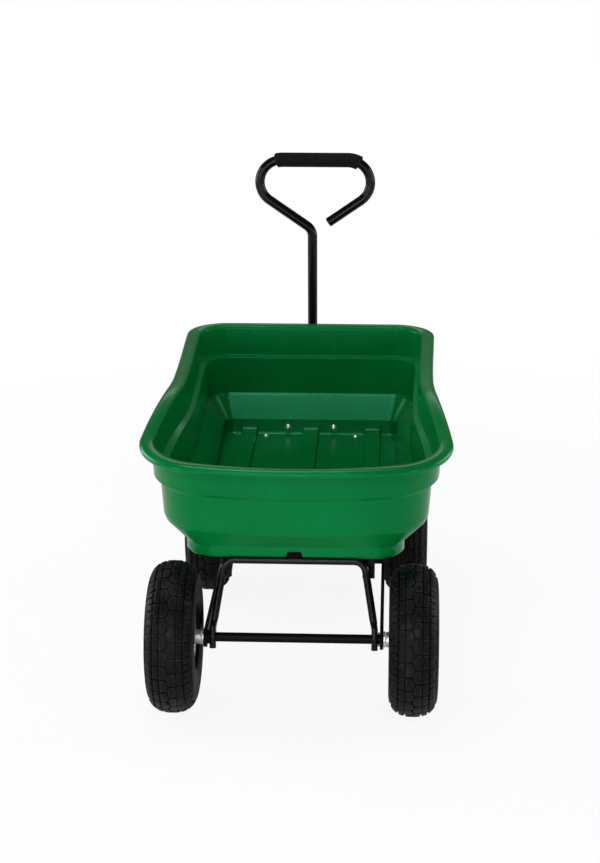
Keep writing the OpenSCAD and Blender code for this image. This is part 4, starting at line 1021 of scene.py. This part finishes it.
class Hoop:
    """The tipping hoop: a round bar whose ends are flattened to eyes on the rear axle."""
    D, BEND_R = 13, 20
    EYE_T, EYE_W, EYE_DROP = 11, 28, 20
    SPAN = extent("hoop").x - EYE_T
    LEAN_IN, FORWARD, TRAY_GAP = 19, 34, 0.3
    RISE = Tray.UNDERSIDE - TRAY_GAP - D / 2 - AXLE_Z
    LENGTH = math.hypot(FORWARD, RISE)
    LEAN = -math.atan2(FORWARD, RISE)
    FLAT_TOP, ROUND_FROM = 16, 34
    SIDES = 24


def squared(x, y, power):
    """A point of the unit circle pushed towards a square's corners."""
    return soft(x, power), soft(y, power)


def add_hoop():
    """The hoop's bar and its two eyes, as one skin."""
    h = Hoop
    lean = h.LEAN_IN / (h.LENGTH - h.FLAT_TOP)
    half = h.SPAN / 2
    low = h.ROUND_FROM
    corners = [(-half + (low - h.FLAT_TOP) * lean, low), (-half + h.LEAN_IN, h.LENGTH),
               (half - h.LEAN_IN, h.LENGTH), (half - (low - h.FLAT_TOP) * lean, low)]
    path = bent_path(corners, [0, h.BEND_R, h.BEND_R, 0], step=1.6)
    pivot = (0, REAR_Y, AXLE_Z)
    bar = tube_rings(path, h.D / 2, pivot, h.LEAN, sides=h.SIDES)

    def eye(side):
        """Rings from the round bar down to the eye's rounded end."""
        rings = []
        eye_r = h.EYE_W / 2
        bottom = -h.EYE_DROP
        heights = [low - 2 * k for k in range(1, 18) if low - 2 * k > bottom + 2]
        heights += [bottom + 1.2, bottom + 0.5, bottom + 0.1]
        for z in heights:
            flat = smooth((low - z) / (low - h.FLAT_TOP))
            width = h.D / 2 + (eye_r - h.D / 2) * flat
            below = bottom + eye_r - z
            if below > 0:
                width = min(width, math.sqrt(max(0.0, eye_r ** 2 - below ** 2)))
            thick = h.D / 2 + (h.EYE_T / 2 - h.D / 2) * flat
            thick = min(thick, max(0.4, width))
            x0 = side * (half - max(0, z - h.FLAT_TOP) * lean)
            ring = []
            for c, s in unit_circle(h.SIDES):
                a, b = squared(c, s, 1 - 0.55 * flat)
                ring.append(leaning((x0 - side * thick * a, width * b, z), pivot, h.LEAN))
            rings.append(ring)
        return rings

    def in_step(rings):
        """Rings whose points start and run the way the bar's rings do."""
        return [[ring[(h.SIDES // 2 - k) % h.SIDES] for k in range(h.SIDES)] for ring in rings]

    left, right = in_step(eye(-1)), in_step(eye(1))
    mesh = mesh_of("hoop", *skin(left[::-1] + bar + right))
    piece("hoop_bar", mesh, "black_enamel", "hoop", crease=60)


# ---------------------------------------------------------------- stage

def add_stage():
    """The floor, which is no part of the cart."""
    bpy.ops.mesh.primitive_plane_add(size=30, location=(0, 0, 0))
    floor = bpy.context.object
    floor.name = "floor"
    floor.data.materials.append(FINISH["pale_floor"])


def add_lamp(name, place, target, size, watts):
    """A soft panel of a width and a height at a place, facing a target."""
    data = bpy.data.lights.new(name, "AREA")
    data.shape = "RECTANGLE"
    data.size, data.size_y = size
    data.energy = watts
    lamp = bpy.data.objects.new(name, data)
    bpy.context.collection.objects.link(lamp)
    lamp.location = place
    lamp.rotation_euler = (Vector(target) - Vector(place)).to_track_quat("-Z", "Y").to_euler()


def add_world():
    """White to the camera, and a dim even light to everything else."""
    world = bpy.data.worlds.new("studio")
    bpy.context.scene.world = world
    world.use_nodes = True
    tree = world.node_tree
    tree.nodes.clear()
    sky = {}
    for name, strength in (("lit", 0.12), ("white", 1.0)):
        sky[name] = tree.nodes.new("ShaderNodeBackground")
        sky[name].inputs["Color"].default_value = (1, 1, 1, 1)
        sky[name].inputs["Strength"].default_value = strength
    seen = tree.nodes.new("ShaderNodeLightPath")
    pick = tree.nodes.new("ShaderNodeMixShader")
    out = tree.nodes.new("ShaderNodeOutputWorld")
    tree.links.new(seen.outputs["Is Camera Ray"], pick.inputs[0])
    tree.links.new(sky["lit"].outputs[0], pick.inputs[1])
    tree.links.new(sky["white"].outputs[0], pick.inputs[2])
    tree.links.new(pick.outputs[0], out.inputs["Surface"])


def add_light():
    """The world and the soft panels round the cart."""
    add_world()
    target = (0, -0.1, 0.3)
    add_lamp("low_front", (-0.4, -3.2, 0.22), target, (2.2, 0.4), 16)
    add_lamp("mid_front", (-0.5, -3.1, 1.15), target, (1.5, 0.4), 20)
    add_lamp("high_front", (-0.3, -2.7, 2.3), target, (1.9, 0.2), 19)
    add_lamp("left_strip", (-2.2, -1.9, 0.75), target, (0.2, 1.3), 12)
    add_lamp("right_strip", (2.2, -1.9, 0.75), target, (0.2, 1.3), 12)
    add_lamp("left_side", (-2.4, 0.5, 1.0), target, (1.6, 1.4), 36)
    add_lamp("right_side", (2.4, 0.5, 1.0), target, (1.6, 1.4), 26)
    add_lamp("overhead", (-0.3, 0.3, 3.0), target, (1.4, 1.0), 26)
    add_lamp("behind", (0.0, 3.2, 2.3), target, (2.6, 0.7), 8)
    bpy.context.scene.view_settings.view_transform = "Standard"


# ---------------------------------------------------------------- assembly

# Width of the eased edges of each plain node, in millimetres
DRESSED = {"rear_axle": 0.8, "rear_washers": 0.3, "rear_split_pins": 0.2, "pivot_washers": 0.3,
           "side_rails": 0.8, "crossbar": 1.2, "spine": 1.6, "kingpin_sleeve": 0.6, "latch_stand": 0.8,
           "rest_pad": 0.8, "latch_pin": 0.4, "latch_spring": 0.05, "front_axle": 0.8,
           "front_spacers": 0.5, "front_washers": 0.3, "front_split_pins": 0.2, "steering_yoke": 0.9,
           "kingpin": 0.5, "thrust_washer": 0.4, "tongue": 1.0, "handle_pivot_bolt": 0.4,
           "handle_fork": 0.7, "bearer_left": 0.6, "bearer_right": 0.6, "front_strap": 0.6,
           "striker_plate": 0.6, "tray_bolts": 0.3, "latch_lever": 0.8}

add_camera()
add_stage()
add_light()
add_tray()
tread_ring = ring_of_rows(tread_row(), Wheel.ROWS, "tread_rubber")
for corner_name in CORNERS:
    add_wheel(corner_name, tread_ring)
add_handle()
add_grip()
add_hoop()
for node_name, edge in DRESSED.items():
    bevelled_copy(node_name, edge)
